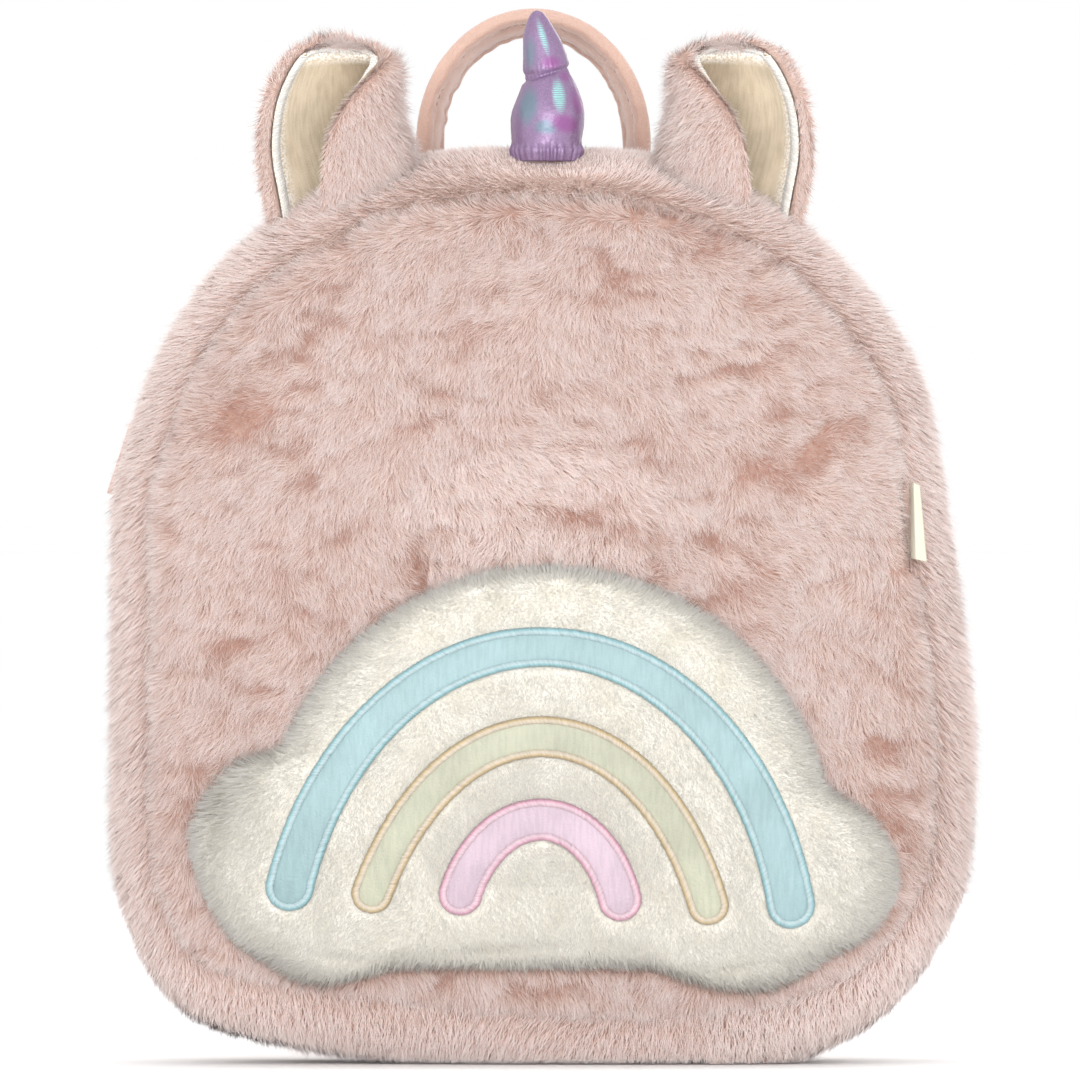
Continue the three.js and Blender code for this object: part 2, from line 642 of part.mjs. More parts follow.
function earLining() {
  const seat = EAR_WALL + 2 * GAP;
  const depths = [seat, seat + LINING_THICKNESS];
  return skin(EAR_STATIONS.slice(0, -2).map((share) => {
    const row = earRow(share);
    return earSection(row, depths, [180, 360 + row.fold], 0);
  }));
}

function mirrored(geometry) {
  const copy = geometry.clone().scale(-1, 1, 1);
  const order = copy.index.array;
  for (let i = 0; i < order.length; i += 3) [order[i + 1], order[i + 2]] = [order[i + 2], order[i + 1]];
  return copy;
}

// The stuffed horn, tied in at its waist and gathered at its foot.
function horn() {
  const count = 20;
  const rings = HORN_ROWS.map(({ rise, radius, lean, pleat }) => Array.from({ length: count }, (_, i) => {
    const turn = (i / count) * 2 * Math.PI;
    const reach = HORN_RADIUS * radius * (1 + pleat * Math.cos((turn * count) / 2));
    const [x, y] = [reach * Math.cos(turn), reach * Math.sin(turn)];
    const slant = Math.tan(degrees(HORN_WAIST_TILT)) * x * Math.sin(Math.PI * Math.min(Math.max(rise, 0), 1));
    return new THREE.Vector3(
      HORN_OFFSET + HORN_RADIUS * lean + x,
      HORN_SETBACK + y,
      BODY_HEIGHT - HORN_FOOT_DROP + HORN_HEIGHT * rise + slant,
    );
  }));
  return skin(rings);
}

// A flat band with rounded edges carried along stations that give its place, width way and thickness way.
function flatBand(stations, width, thickness) {
  const [half, crest] = [width / 2, thickness / 2];
  const section = [
    [-half, 0],
    [-half + crest * 0.6, crest],
    [0, crest],
    [half - crest * 0.6, crest],
    [half, 0],
    [half - crest * 0.6, -crest],
    [0, -crest],
    [-half + crest * 0.6, -crest],
  ];
  return skin(stations.map(({ at, wide, thick }) =>
    section.map(([w, t]) => at.clone().addScaledVector(wide, w).addScaledVector(thick, t))));
}

// The carrying loop: an arch whose band leans so that its front edge is wider than its back edge.
function carryLoop() {
  const sink = LOOP_FOOT_RISE + SEAM_INSET_TOP;
  const lean = degrees(LOOP_FLARE);
  const legs = [1, 0.5].map((share) => ({ turn: 0, drop: sink * share }));
  const arch = Array.from({ length: 19 }, (_, i) => ({ turn: (i / 18) * Math.PI, drop: 0 }));
  const route = [...legs, ...arch, ...legs.toReversed().map(({ drop }) => ({ turn: Math.PI, drop }))];
  const stations = route.map(({ turn, drop }) => {
    const out = new THREE.Vector3(Math.cos(turn) * LOOP_RISE, 0, Math.sin(turn) * LOOP_HALF_WIDTH);
    out.normalize();
    const at = new THREE.Vector3(
      LOOP_OFFSET + LOOP_HALF_WIDTH * Math.cos(turn),
      LOOP_SETBACK,
      LOOP_FOOT_HEIGHT + LOOP_RISE * Math.sin(turn) - drop,
    );
    at.addScaledVector(out, (-LOOP_BAND_WIDTH / 2) * Math.sin(lean));
    const front = new THREE.Vector3(0, -1, 0);
    return {
      at,
      wide: front.clone().multiplyScalar(Math.cos(lean)).addScaledVector(out, Math.sin(lean)),
      thick: out.clone().multiplyScalar(Math.cos(lean)).addScaledVector(front, -Math.sin(lean)),
    };
  });
  return flatBand(stations, LOOP_BAND_WIDTH, LOOP_THICKNESS);
}

function strapCurve(line, side) {
  const back = SEAM_HALF_DEPTH + BACK_BULGE;
  return new THREE.CatmullRomCurve3(line.map(({ across, off, up }) =>
    new THREE.Vector3(side * across * BODY_HALF_WIDTH, back + off * STRAP_STANDOFF, up * BODY_HEIGHT)));
}

// A strap's stations along its middle line, its width kept square to the line and level.
function strapStations(curve, count) {
  return curve.getSpacedPoints(count).map((at, i) => {
    const tangent = curve.getTangentAt(i / count);
    const wide = new THREE.Vector3(1, 0, 0).addScaledVector(tangent, -tangent.x).normalize();
    return { at, wide, thick: wide.clone().cross(tangent) };
  });
}

function shoulderStrap() {
  return flatBand(strapStations(strapCurve(STRAP_LINE, 1), 18), STRAP_WIDTH, STRAP_THICKNESS);
}

// Where the slider hangs below the strap's end, with the directions down the strap, off the back and across.
function sliderFrame() {
  const { at, thick, wide } = strapStations(strapCurve(STRAP_LINE, 1), 18).at(-1);
  const down = thick.clone().cross(wide);
  const under = STRAP_THICKNESS / 2 + GAP + WEBBING_THICKNESS / 2 - sliderWeave();
  const middle = at.clone().addScaledVector(down, SLIDER_DROP).addScaledVector(thick, -under);
  return { middle, down, off: thick, wide };
}

// How far the webbing's middle passes before and behind the slider's middle.
const sliderWeave = () => SLIDER_THICKNESS / 2 + GAP + WEBBING_THICKNESS / 2;

// The webbing: under the strap's end, woven through the slider, then down to the bag's lower corner.
function strapWebbing() {
  const { middle, down, off, wide } = sliderFrame();
  const weave = sliderWeave();
  const slot = (SLIDER_HEIGHT - 3 * SLIDER_BAR) / 2;
  const [near, far] = [SLIDER_BAR / 2 + slot * 0.25, SLIDER_BAR / 2 + slot * 0.75];
  const woven = [
    { drop: -SLIDER_DROP - WEBBING_OVERLAP, out: -weave },
    { drop: -SLIDER_HEIGHT / 2, out: -weave },
    { drop: -far, out: -weave },
    { drop: -near, out: weave },
    { drop: near, out: weave },
    { drop: far, out: -weave },
    { drop: SLIDER_HEIGHT / 2, out: -weave },
  ].map(({ drop, out }) => middle.clone().addScaledVector(down, drop).addScaledVector(off, out));
  const tail = strapCurve(WEBBING_TAIL, 1).points;
  const hung = new THREE.CatmullRomCurve3([woven.at(-2), woven.at(-1), ...tail]).getSpacedPoints(12).slice(3);
  const line = [...woven, ...hung];
  return flatBand(line.map((at, i) => {
    const along = line[Math.min(i + 1, line.length - 1)].clone().sub(line[Math.max(i - 1, 0)]).normalize();
    const thick = along.clone().cross(wide).normalize();
    return { at, thick, wide: thick.clone().cross(along) };
  }), WEBBING_WIDTH, WEBBING_THICKNESS);
}

// The plate with two slots that the webbing is threaded through, flat in x and y.
function strapSlider() {
  const [w, h] = [SLIDER_WIDTH / 2, SLIDER_HEIGHT / 2];
  const plate = new THREE.Shape([
    new THREE.Vector2(-w, -h),
    new THREE.Vector2(w, -h),
    new THREE.Vector2(w, h),
    new THREE.Vector2(-w, h),
  ]);
  const [slotWide, slotHigh] = [w - SLIDER_BAR, (SLIDER_HEIGHT - 3 * SLIDER_BAR) / 2];
  for (const side of [-1, 1]) {
    const low = side > 0 ? SLIDER_BAR / 2 : -SLIDER_BAR / 2 - slotHigh;
    plate.holes.push(new THREE.Path([
      new THREE.Vector2(-slotWide, low),
      new THREE.Vector2(-slotWide, low + slotHigh),
      new THREE.Vector2(slotWide, low + slotHigh),
      new THREE.Vector2(slotWide, low),
    ]));
  }
  const shape = new THREE.ExtrudeGeometry(plate, { depth: SLIDER_THICKNESS, bevelEnabled: false });
  return shape.translate(0, 0, -SLIDER_THICKNESS / 2);
}

// The folded side label, sewn into the right front seam and lying back over the band.
function sideLabel() {
  const station = stationAt(1, LABEL_HEIGHT);
  const sewn = bandPoint(station, -1, PLUSH_WALL / 3);
  const reach = [0, 0.35, 0.7, 1].map((share) => {
    const across = -1 + (share * LABEL_REACH) / SEAM_HALF_DEPTH;
    return bandPoint(station, across, -TUFT_HEIGHT - GAP - LABEL_THICKNESS);
  });
  const line = [sewn, ...reach];
  const [low, high] = [-LABEL_LENGTH / 2, LABEL_LENGTH / 2];
  return skin(line.map((at) => {
    const out = new THREE.Vector3(0.6, -0.8, 0).multiplyScalar(LABEL_THICKNESS / 2);
    const corner = (way, up) => new THREE.Vector3(at.x, at.y, LABEL_HEIGHT + up).addScaledVector(out, way);
    return [corner(-1, low), corner(1, low), corner(1, high), corner(-1, high)];
  }));
}

// The whole bag's outside as one body, grown by the sewing gap: what sits on the bag is cut by it.
function bagEnvelope() {
  const front = PANEL_SHARES.map((share, row) => frontRing(share, row, GAP));
  const edges = OUTLINE.map((station, i) => bandEdge(station, i, GAP));
  const band = BAND_SHARES.map((_, row) => edges.map((edge) => edge[row]));
  const back = BACK_SHARES.toReversed().map((share) => panelRing(1, share, () => -GAP));
  return toSolid(skin([...front, ...band, ...back]));
}

const bag = new THREE.Group();

function add(name, geometry, colour, roughness = 0.9, metalness = 0) {
  const material = new THREE.MeshStandardMaterial({ color: COLOURS[colour], roughness, metalness });
  const mesh = new THREE.Mesh(geometry, material);
  mesh.name = name;
  bag.add(mesh);
  return mesh;
}

// Stands a flat plate up at a place, by the directions of its width, its height and its face.
function stand(mesh, at, width, height, face) {
  mesh.quaternion.setFromRotationMatrix(new THREE.Matrix4().makeBasis(width, height, face));
  mesh.position.copy(at);
}

const envelope = bagEnvelope();

add("front_panel", frontPanel(), "plush");
add("side_band", sideBand(), "plush");
add("back_panel", backPanel(), "velour");
add("zipper", zipper(), "zipper", 0.7);

const pullStation = stationAt(-1, ZIP_END_HEIGHT + 2 * ZIP_PULL_LENGTH);
const pullDepth = ZIP_TAPE_DEPTH - ZIP_CHAIN_HEIGHT - 3 * GAP;
const pullPlace = bandPoint(pullStation, ZIP_SETBACK / SEAM_HALF_DEPTH, pullDepth).setY(ZIP_SETBACK);
const pullFace = new THREE.Vector3(pullStation.normal.x, 0, pullStation.normal.y);
const pullWidth = new THREE.Vector3(0, -1, 0);
const pullUp = pullFace.clone().cross(pullWidth);
stand(add("zip_pull", zipPull(), "plastic", 0.4), pullPlace, pullWidth, pullUp, pullFace);

add("cloud_patch", seatedOn(cloudPatch(), envelope), "cream");
for (const row of STRIPES) add(`rainbow_${row.hue}`, stripe(row), row.hue, 0.7);

for (const [side, hand] of [["left", (shape) => shape], ["right", mirrored]]) {
  const [cup, velvet] = [ear(), earLining()].map((shape) => hand(shape).translate(EARS_OFFSET, 0, 0));
  add(`ear_${side}`, seatedOn(cup, envelope), "plush");
  add(`ear_lining_${side}`, seatedOn(velvet, envelope), "lining", 0.6);
}
add("horn", seatedOn(horn(), envelope), "horn", 0.3, 0.4);

add("carry_loop", seatedOn(carryLoop(), envelope), "velour");
for (const [side, hand] of [["right", (shape) => shape], ["left", mirrored]]) {
  add(`shoulder_strap_${side}`, seatedOn(hand(shoulderStrap()), envelope), "velour");
  add(`strap_webbing_${side}`, seatedOn(hand(strapWebbing()), envelope), "velour", 0.8);
  const { middle, down, off } = sliderFrame();
  if (side === "left") for (const way of [middle, down, off]) way.x *= -1;
  const up = down.negate();
  stand(add(`strap_slider_${side}`, strapSlider(), "plastic", 0.4), middle, up.clone().cross(off), up, off);
}
add("side_label", seatedOn(sideLabel(), envelope), "label", 0.8);

export default bag;
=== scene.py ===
"""A small child's plush backpack with a unicorn's ears and horn: its fur, cloth, threads and finishes.

It is laid out as a Blender add-on and run as a script. Shapes are worked out in millimetres with numpy,
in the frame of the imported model: +Z up, the front towards -Y, the origin under the middle of the bag.
"""

import math

import bpy
import numpy as np
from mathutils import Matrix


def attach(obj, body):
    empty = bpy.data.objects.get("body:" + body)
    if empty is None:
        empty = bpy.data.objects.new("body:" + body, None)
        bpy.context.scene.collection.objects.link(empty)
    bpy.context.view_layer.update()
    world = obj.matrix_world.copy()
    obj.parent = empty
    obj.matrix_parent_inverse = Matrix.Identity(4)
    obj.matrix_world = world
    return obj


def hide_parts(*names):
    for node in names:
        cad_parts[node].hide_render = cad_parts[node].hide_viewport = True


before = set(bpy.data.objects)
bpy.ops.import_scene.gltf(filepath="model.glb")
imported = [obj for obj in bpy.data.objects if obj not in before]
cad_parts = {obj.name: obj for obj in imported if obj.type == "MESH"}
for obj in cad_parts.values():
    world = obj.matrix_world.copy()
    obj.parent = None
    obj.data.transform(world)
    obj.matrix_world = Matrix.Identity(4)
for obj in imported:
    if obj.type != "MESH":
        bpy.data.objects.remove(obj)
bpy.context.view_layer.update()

bl_info = {
    "name": "Plush unicorn backpack",
    "version": (1, 0, 0),
    "blender": (4, 5, 0),
    "location": "3D View > Sidebar > Backpack",
    "description": "Builds the fur, cloth and trimmings of a small plush backpack",
    "category": "Add Mesh",
}

MM = 0.001

# Places in millimetres: the horn's middle, the plane of horn and ears, the zipper's middle and lowest height.
HORN_X = 2.5
TRIM_Y = -18
ZIPPER_Y = 10
ZIPPER_FOOT = 153

# Where the front's pile and the band's pile are each split in two pieces: a height and a depth.
FRONT_SPLIT = 165
BAND_SPLIT = -6

# The bag's front outline from the bottom up: height, reach to the left and reach to the right, as shares.
OUTLINE_ROWS = np.array(
    [
        (0.002, 0.0, 0.385),
        (0.014, 0.311, 0.556),
        (0.027, 0.547, 0.644),
        (0.053, 0.779, 0.758),
        (0.094, 0.895, 0.859),
        (0.159, 0.962, 0.95),
        (0.223, 0.994, 0.989),
        (0.353, 0.998, 1.001),
        (0.482, 0.996, 0.973),
        (0.612, 0.994, 0.937),
        (0.677, 0.96, 0.914),
        (0.741, 0.916, 0.884),
        (0.806, 0.847, 0.813),
        (0.871, 0.744, 0.701),
        (0.93, 0.59, 0.56),
        (0.975, 0.4, 0.38),
        (0.998, 0.19, 0.17),
    ]
)

# Soft dents of the front: x, z, half width, half height (shares), turn in degrees, depth (share).
FRONT_DENTS = [
    (0.05, 0.59, 0.22, 0.035, -8, 0.14),
    (-0.66, 0.68, 0.1, 0.06, 30, 0.14),
    (-0.27, 0.56, 0.03, 0.07, 12, 0.16),
    (0.46, 0.62, 0.14, 0.04, 38, 0.16),
    (0.62, 0.72, 0.1, 0.05, -20, 0.12),
    (0.25, 0.55, 0.03, 0.05, -10, 0.14),
    (-0.78, 0.43, 0.12, 0.03, 15, 0.14),
    (0.72, 0.5, 0.16, 0.03, -12, 0.12),
]

# Places where the pile parts, its hairs drawn shorter, darker and pinker, partly as its pinker roots and
# partly as painted shade in the gap:
# x, z, half width and half height in millimetres, turn in degrees, strength.
PARTINGS = [
    (-88, 195, 12, 9, 35, 0.9),
    (-78, 214, 18, 4, 25, 0.5),
    (8, 166, 17, 4, -12, 0.9),
    (20, 172, 7, 3, 30, 0.6),
    (84, 188, 14, 6, 35, 1.0),
    (66, 180, 12, 4, -30, 0.8),
    (47, 141, 16, 3.5, 20, 0.8),
    (62, 152, 8, 3, -40, 0.6),
    (-92, 128, 14, 4, 12, 0.8),
    (-70, 138, 9, 3, -20, 0.5),
    (-38, 151, 2.6, 10, 8, 1.0),
    (32, 146, 2.6, 7, -12, 1.0),
    (104, 99, 9, 2.5, 8, 0.8),
    (100, 122, 10, 3, -30, 0.5),
    (-45, 190, 10, 3, 20, 0.45),
    (10, 205, 14, 2.5, -6, 0.4),
    (-20, 222, 16, 3, 8, 0.35),
    (-104, 78, 5, 12, 6, 0.6),
    (108, 70, 4, 12, -4, 0.5),
    (50, 214, 12, 3, -25, 0.4),
    (-60, 162, 10, 3, 30, 0.5),
]

# The cloud's lobes: x, z and radius as shares of its half width, from its centre.
CLOUD_LOBES = [
    (0.814, -0.091, 0.223),
    (0.602, -0.18, 0.245),
    (0.5, -0.217, 0.193),
    (-0.826, 0.014, 0.184),
    (-0.84, 0.197, 0.061),
    (-0.722, -0.088, 0.253),
    (-0.63, -0.236, 0.179),
]

# Soft creases pressed into the cloud, where its pile is also drawn darker as painted shade: x, z, half length
# and half width in millimetres, turn, strength.
CLOUD_CREASES = [
    (-96, 77, 19, 2.4, 77, 1.0),
    (-94, 39, 9, 1.8, -35, 0.9),
    (-12, 35.5, 27, 1.7, 4, 0.7),
    (-60, 33, 14, 1.6, -12, 0.5),
    (88, 62, 12, 2.4, -70, 0.6),
    (60, 30, 16, 1.7, 8, 0.5),
    (-80, 92, 10, 1.8, 30, 0.5),
]
CLOUD_ARCH = (0.017, -0.024, 0.83)
CLOUD_BASE = -0.363

# Stripes, as shares of the cloud's half width: centre, half width, height, sweep each way in degrees, and the
# stripe's own width at crown and foot.
STRIPES = {
    "blue": (-0.402, 0.754, 0.975, 75, 0.112, 0.138),
    "yellow": (-0.575, 0.553, 0.888, 62, 0.117, 0.117),
    "pink": (-0.286, 0.25, 0.358, 68, 0.12, 0.124),
}

# Each stripe's satin as cut: width and length in metres, and its area in square metres.
STRIPE_CUTS = {
    "blue": ((0.0125, 0.25), 0.0031),
    "yellow": ((0.0117, 0.163), 0.00188),
    "pink": ((0.0122, 0.085), 0.00101),
}

# The ear's sections from foot to tip: outer x and z, inner x and z, cup, fold in degrees.
EAR_ROWS = np.array(
    [
        (-0.4, -0.12, 0.35, 0.22, 0.46, 106),
        (-0.44, 0.1, 0.32, 0.4, 0.5, 102),
        (-0.48, 0.33, 0.28, 0.55, 0.5, 90),
        (-0.47, 0.55, 0.26, 0.66, 0.46, 72),
        (-0.415, 0.73, 0.27, 0.77, 0.4, 50),
        (-0.33, 0.865, 0.25, 0.84, 0.31, 28),
        (-0.2, 0.925, 0.15, 0.905, 0.2, 6),
    ]
)

# The horn's sections from foot to tip: rise, radius, lean and pleat depth.
HORN_ROWS = np.array(
    [
        (-0.14, 0.9, -0.1, 0.06),
        (-0.065, 0.985, -0.1, 0.05),
        (-0.03, 0.965, -0.1, 0.03),
        (0.01, 0.955, -0.1, 0.002),
        (0.146, 1, -0.08, 0),
        (0.244, 0.975, -0.07, 0),
        (0.366, 0.82, -0.06, 0),
        (0.446, 0.69, -0.07, 0.01),
        (0.502, 0.585, -0.08, 0.025),
        (0.549, 0.63, -0.11, 0.012),
        (0.634, 0.59, -0.15, 0),
        (0.732, 0.52, -0.22, 0),
        (0.805, 0.445, -0.28, 0),
        (0.91, 0.27, -0.335, 0),
        (0.955, 0.15, -0.35, 0),
        (0.97, 0.05, -0.36, 0),
    ]
)

# Coloured patches of the horn's foil, the mint ones a painted highlight and the blue-grey ones a painted
# sheen, mostly on its left: colour, x and z of the middle, half width and half height in millimetres, turn in
# degrees.
FOIL_PATCHES = [
    ("horn_blue_sheen", -6.4, 27.0, 3.6, 10.0, 0),
    ("horn_blue_sheen", -6.8, 11.0, 5.0, 10.0, 6),
    ("horn_blue_sheen", -1.0, 4.5, 6.5, 3.6, 0),
    ("horn_magenta", 0.5, 24.0, 5.5, 3.6, 0),
    ("horn_magenta", 4.6, 5.4, 7.5, 4.6, 10),
    ("horn_magenta", 8.6, 13.0, 4.0, 9.0, -8),
    ("horn_magenta", 5.0, 20.0, 4.0, 3.4, 0),
    ("horn_mint_highlight", -2.4, 32.5, 2.0, 10.5, -17),
    ("horn_mint_highlight", 2.6, 14.0, 3.1, 8.0, -6),
]

# A hanging strap's middle line: across, off the back, up, as shares.
STRAP_LINE = np.array(
    [
        (0.2, -0.4, 0.875),
        (0.205, 0.35, 0.893),
        (0.235, 0.85, 0.84),
        (0.29, 1, 0.72),
        (0.35, 0.98, 0.58),
        (0.41, 0.82, 0.45),
        (0.45, 0.62, 0.355),
    ]
)
WEBBING_TAIL = np.array([(0.53, 0.32, 0.2), (0.59, 0.14, 0.15), (0.64, -0.35, 0.125)])


def length_prop(name, description, default):
    return bpy.props.FloatProperty(
        name=name, description=description, default=default * MM, unit="LENGTH", precision=4
    )


def colour_prop(name, description, rgb):
    return bpy.props.FloatVectorProperty(
        name=name,
        description=description,
        subtype="COLOR",
        size=3,
        min=0,
        max=1,
        default=tuple(((c / 255 + 0.055) / 1.055) ** 2.4 for c in rgb),
    )


class BackpackSizes(bpy.types.PropertyGroup):
    """Sizes of the bag and its trimmings."""

    body_height: length_prop("Body height", "Height of the bag without ears and loop", 278)
    body_half_width: length_prop("Body half width", "Half the width of the bag", 131)
    seam_half_depth: length_prop("Seam half depth", "From the middle of the bag to a seam", 42)
    front_bulge: length_prop("Front bulge", "How far the front domes out", 17)
    back_bulge: length_prop("Back bulge", "How far the back domes out", 7)
    wall: length_prop("Plush wall", "Backing, padding and dense pile", 6)
    back_wall: length_prop("Back wall", "Thickness of the back", 4)
    inset_side: length_prop("Side inset", "How far the seams lie in at the sides", 13)
    inset_top: length_prop("Top inset", "How far the seams lie in at the top", 17)
    inset_bottom: length_prop("Bottom inset", "How far the seams lie in at the bottom", 19)
    rest_sink: length_prop("Rest sink", "How far the round bottom is pressed flat", 4)
    gap: length_prop("Sewing gap", "Clearance between sewn pieces", 0.3)
    pile_length: length_prop("Pile length", "Length of the bag's long pile", 6.4)
    pile_width: length_prop("Pile width", "Width of a few hairs together at their root", 0.22)
    pile_inset: length_prop("Pile inset", "Depth of the backing under the outline of the pile", 1.6)
    cloud_half_width: length_prop("Cloud half width", "Half the width of the cloud", 103)
    cloud_height: length_prop("Cloud height", "Height of the cloud's centre", 67)
    cloud_thickness: length_prop("Cloud thickness", "How far the cloud stands out", 13)
    cloud_pile: length_prop("Cloud pile", "Length of the cloud's short pile", 2.8)
    stripe_thickness: length_prop("Stripe thickness", "Thickness of a stripe's satin", 1.2)
    rim_width: length_prop("Border width", "Width of a stripe's satin-stitched border", 2.7)
    rim_height: length_prop("Border height", "Height of the border over the satin", 1.2)
    ear_height: length_prop("Ear height", "Height of an ear", 60)
    ear_wall: length_prop("Ear wall", "Thickness of an ear's plush", 5)
    ear_cup: length_prop("Ear cup", "Depth of an ear", 28)
    ear_spread: length_prop("Ear spread", "From the ears' middle to each ear", 56)
    ear_pile: length_prop("Ear pile", "Length of the ears' pile", 7)
    horn_height: length_prop("Horn height", "Height of the horn", 41)
    horn_radius: length_prop("Horn radius", "Radius of the horn's bulb", 11.1)
    loop_half_width: length_prop("Loop half width", "Half the carrying loop's width", 34)
    loop_rise: length_prop("Loop rise", "Height of the carrying loop's arch", 39)
    loop_width: length_prop("Loop band", "Width of the carrying loop's band", 20)
    loop_thickness: length_prop("Loop thickness", "Thickness of the carrying loop", 5)
    strap_width: length_prop("Strap width", "Width of a shoulder strap", 34)
    strap_thickness: length_prop("Strap thickness", "Thickness of a shoulder strap", 7)
    strap_standoff: length_prop("Strap standoff", "How far a strap hangs off the back", 30)
    webbing_width: length_prop("Webbing width", "Width of the lower webbing", 20)
    webbing_thickness: length_prop("Webbing thickness", "Thickness of the webbing", 1.6)
    label_length: length_prop("Label length", "Length of the side label", 23)
    label_height: length_prop("Label height", "Height of the side label's middle", 164)


class BackpackColours(bpy.types.PropertyGroup):
    """Colours of the bag's cloths and threads."""

    # The long pile's darker roots and paler tips are partly its own colours and partly painted shade deep in
    # the pile and a painted highlight on the tips.
    pile_root: colour_prop("Pile root", "Deep part of the long pile", (184, 130, 110))
    pile_body: colour_prop("Pile body", "Middle of the long pile", (216, 187, 176))
    pile_tip: colour_prop("Pile tip", "Silvery tips of the long pile", (246, 238, 236))
    velour: colour_prop("Velour", "Loop, straps and back", (217, 183, 168))
    # The cloud's darker, warmer roots are partly its own colour and partly painted shade deep in its pile.
    cream_root: colour_prop("Cream root", "Deep part of the cloud's pile", (203, 196, 183))
    cream_tip: colour_prop("Cream tip", "Tips of the cloud's pile", (223, 221, 216))
    blue: colour_prop("Blue satin", "Outer stripe", (140, 166, 169))
    blue_thread: colour_prop("Blue thread", "Outer stripe's border", (140, 182, 188))
    yellow: colour_prop("Yellow satin", "Middle stripe", (169, 169, 149))
    yellow_thread: colour_prop("Yellow thread", "Middle stripe's border", (196, 174, 136))
    pink: colour_prop("Pink satin", "Inner stripe", (183, 162, 174))
    pink_thread: colour_prop("Pink thread", "Inner stripe's border", (210, 162, 180))
    lining: colour_prop("Ear lining", "Velvet inside the ears", (206, 190, 166))
    # Painted highlight: the whitish sheen along the ear lining's edge, drawn as pale thread.
    lining_edge_sheen: colour_prop("Silver thread", "Shimmering border of the ear lining", (244, 242, 236))
    horn_lilac: colour_prop("Horn lilac", "Main colour of the horn's foil", (139, 114, 148))
    # Painted light on the foil: the mint patches are a painted highlight and the blue-grey ones a painted
    # sheen.
    horn_mint_highlight: colour_prop("Horn mint", "Mint patches of the foil", (141, 197, 194))
    horn_blue_sheen: colour_prop("Horn blue", "Blue-grey patches of the foil", (107, 123, 139))
    horn_magenta: colour_prop("Horn magenta", "Deep patches of the foil", (134, 81, 134))
    label: colour_prop("Label", "Blank woven label", (232, 226, 204))
    plastic: colour_prop("Plastic", "Sliders and zip pull", (214, 178, 166))


def sizes():
    """The sizes as plain numbers, in millimetres."""
    group = bpy.context.scene.backpack_sizes
    return {name: getattr(group, name) / MM for name in group.__annotations__}


def colour(name):
    """One of the named colours as RGBA."""
    return (*getattr(bpy.context.scene.backpack_colours, name), 1.0)


# Curves and noise


def spline(rows, count, closed=False):
    """Catmull-Rom curve through rows, at count even parameters: each stretch is the cubic that passes
    through its two rows with slopes of half the chord between their neighbours."""
    rows = np.asarray(rows, float)
    n = len(rows)
    t = np.linspace(0, n if closed else n - 1, count, endpoint=not closed)
    k = np.minimum(t.astype(int), n - 1 if closed else n - 2)
    f = (t - k)[:, None]
    pick = (lambda i: rows[i % n]) if closed else (lambda i: rows[np.clip(i, 0, n - 1)])
    a, b, c, d = pick(k - 1), pick(k), pick(k + 1), pick(k + 2)
    return 0.5 * (
        2 * b + (c - a) * f + (2 * a - 5 * b + 4 * c - d) * f**2 + (3 * b - a - 3 * c + d) * f**3
    )


def even(points, count, closed=True):
    """Points at equal distances along a polyline, by linear interpolation over its running length."""
    line = np.vstack([points, points[:1]]) if closed else np.asarray(points)
    far = running_length(line)
    return sample(np.linspace(0, far[-1], count, endpoint=not closed), far, line)


def running_length(line):
    """Distance along a polyline at each of its points."""
    return np.concatenate([[0], np.cumsum(np.linalg.norm(np.diff(line, axis=0), axis=1))])


def sample(want, far, field):
    """The columns of a field read at the wanted distances by linear interpolation."""
    return np.stack([np.interp(want, far, column) for column in field.T], axis=-1)


def unit(v):
    return v / np.maximum(np.linalg.norm(v, axis=-1, keepdims=True), 1e-9)


def lattice(cell, seed):
    """A repeatable number from 0 to 1 for each whole-numbered cell, by a hash of its three indices."""
    h = (
        cell[..., 0] * 374761393 + cell[..., 1] * 668265263 + cell[..., 2] * 2147483647 + seed * 974711
    ).astype(np.int64)
    h = (h ^ (h >> 13)) * 1274126177
    h = h ^ (h >> 16)
    return (h & 0xFFFFF) / 0xFFFFF


def noise(points, size, seed):
    """Smooth value noise from -1 to 1: the lattice's numbers blended by a smoothstep in each direction."""
    p = points / size
    base = np.floor(p).astype(np.int64)
    f = p - base
    f = f * f * (3 - 2 * f)
    total = 0
    for corner in np.ndindex(2, 2, 2):
        weight = np.prod(np.where(np.array(corner) == 1, f, 1 - f), axis=-1)
        total = total + weight * lattice(base + np.array(corner), seed)
    return total * 2 - 1


# The bag's surfaces


def outline(s, count):
    """The bag's widest outline: the table's rows joined by a spline, spaced evenly, and each one's normal."""
    z = OUTLINE_ROWS[:, 0] * s["body_height"]
    z = z - s["rest_sink"] * np.maximum(0, 1 - z / (8 * s["rest_sink"]))
    right = np.stack([OUTLINE_ROWS[:, 2] * s["body_half_width"], z], axis=1)
    left = np.stack([-OUTLINE_ROWS[:, 1] * s["body_half_width"], z], axis=1)[::-1]
    curve = spline(np.vstack([right, left, right[:1]]), 721)
    at = even(curve[:-1], count)
    along = np.roll(at, -1, axis=0) - np.roll(at, 1, axis=0)
    return at, unit(np.stack([along[:, 1], -along[:, 0]], axis=1))


def seam_inset(s, normal):
    """How far the seams lie inside the outline: blended from the sides' inset to the ends' by the normal."""
    end = np.where(normal[:, 1] > 0, s["inset_top"], s["inset_bottom"])
    return s["inset_side"] + (end - s["inset_side"]) * normal[:, 1] ** 2


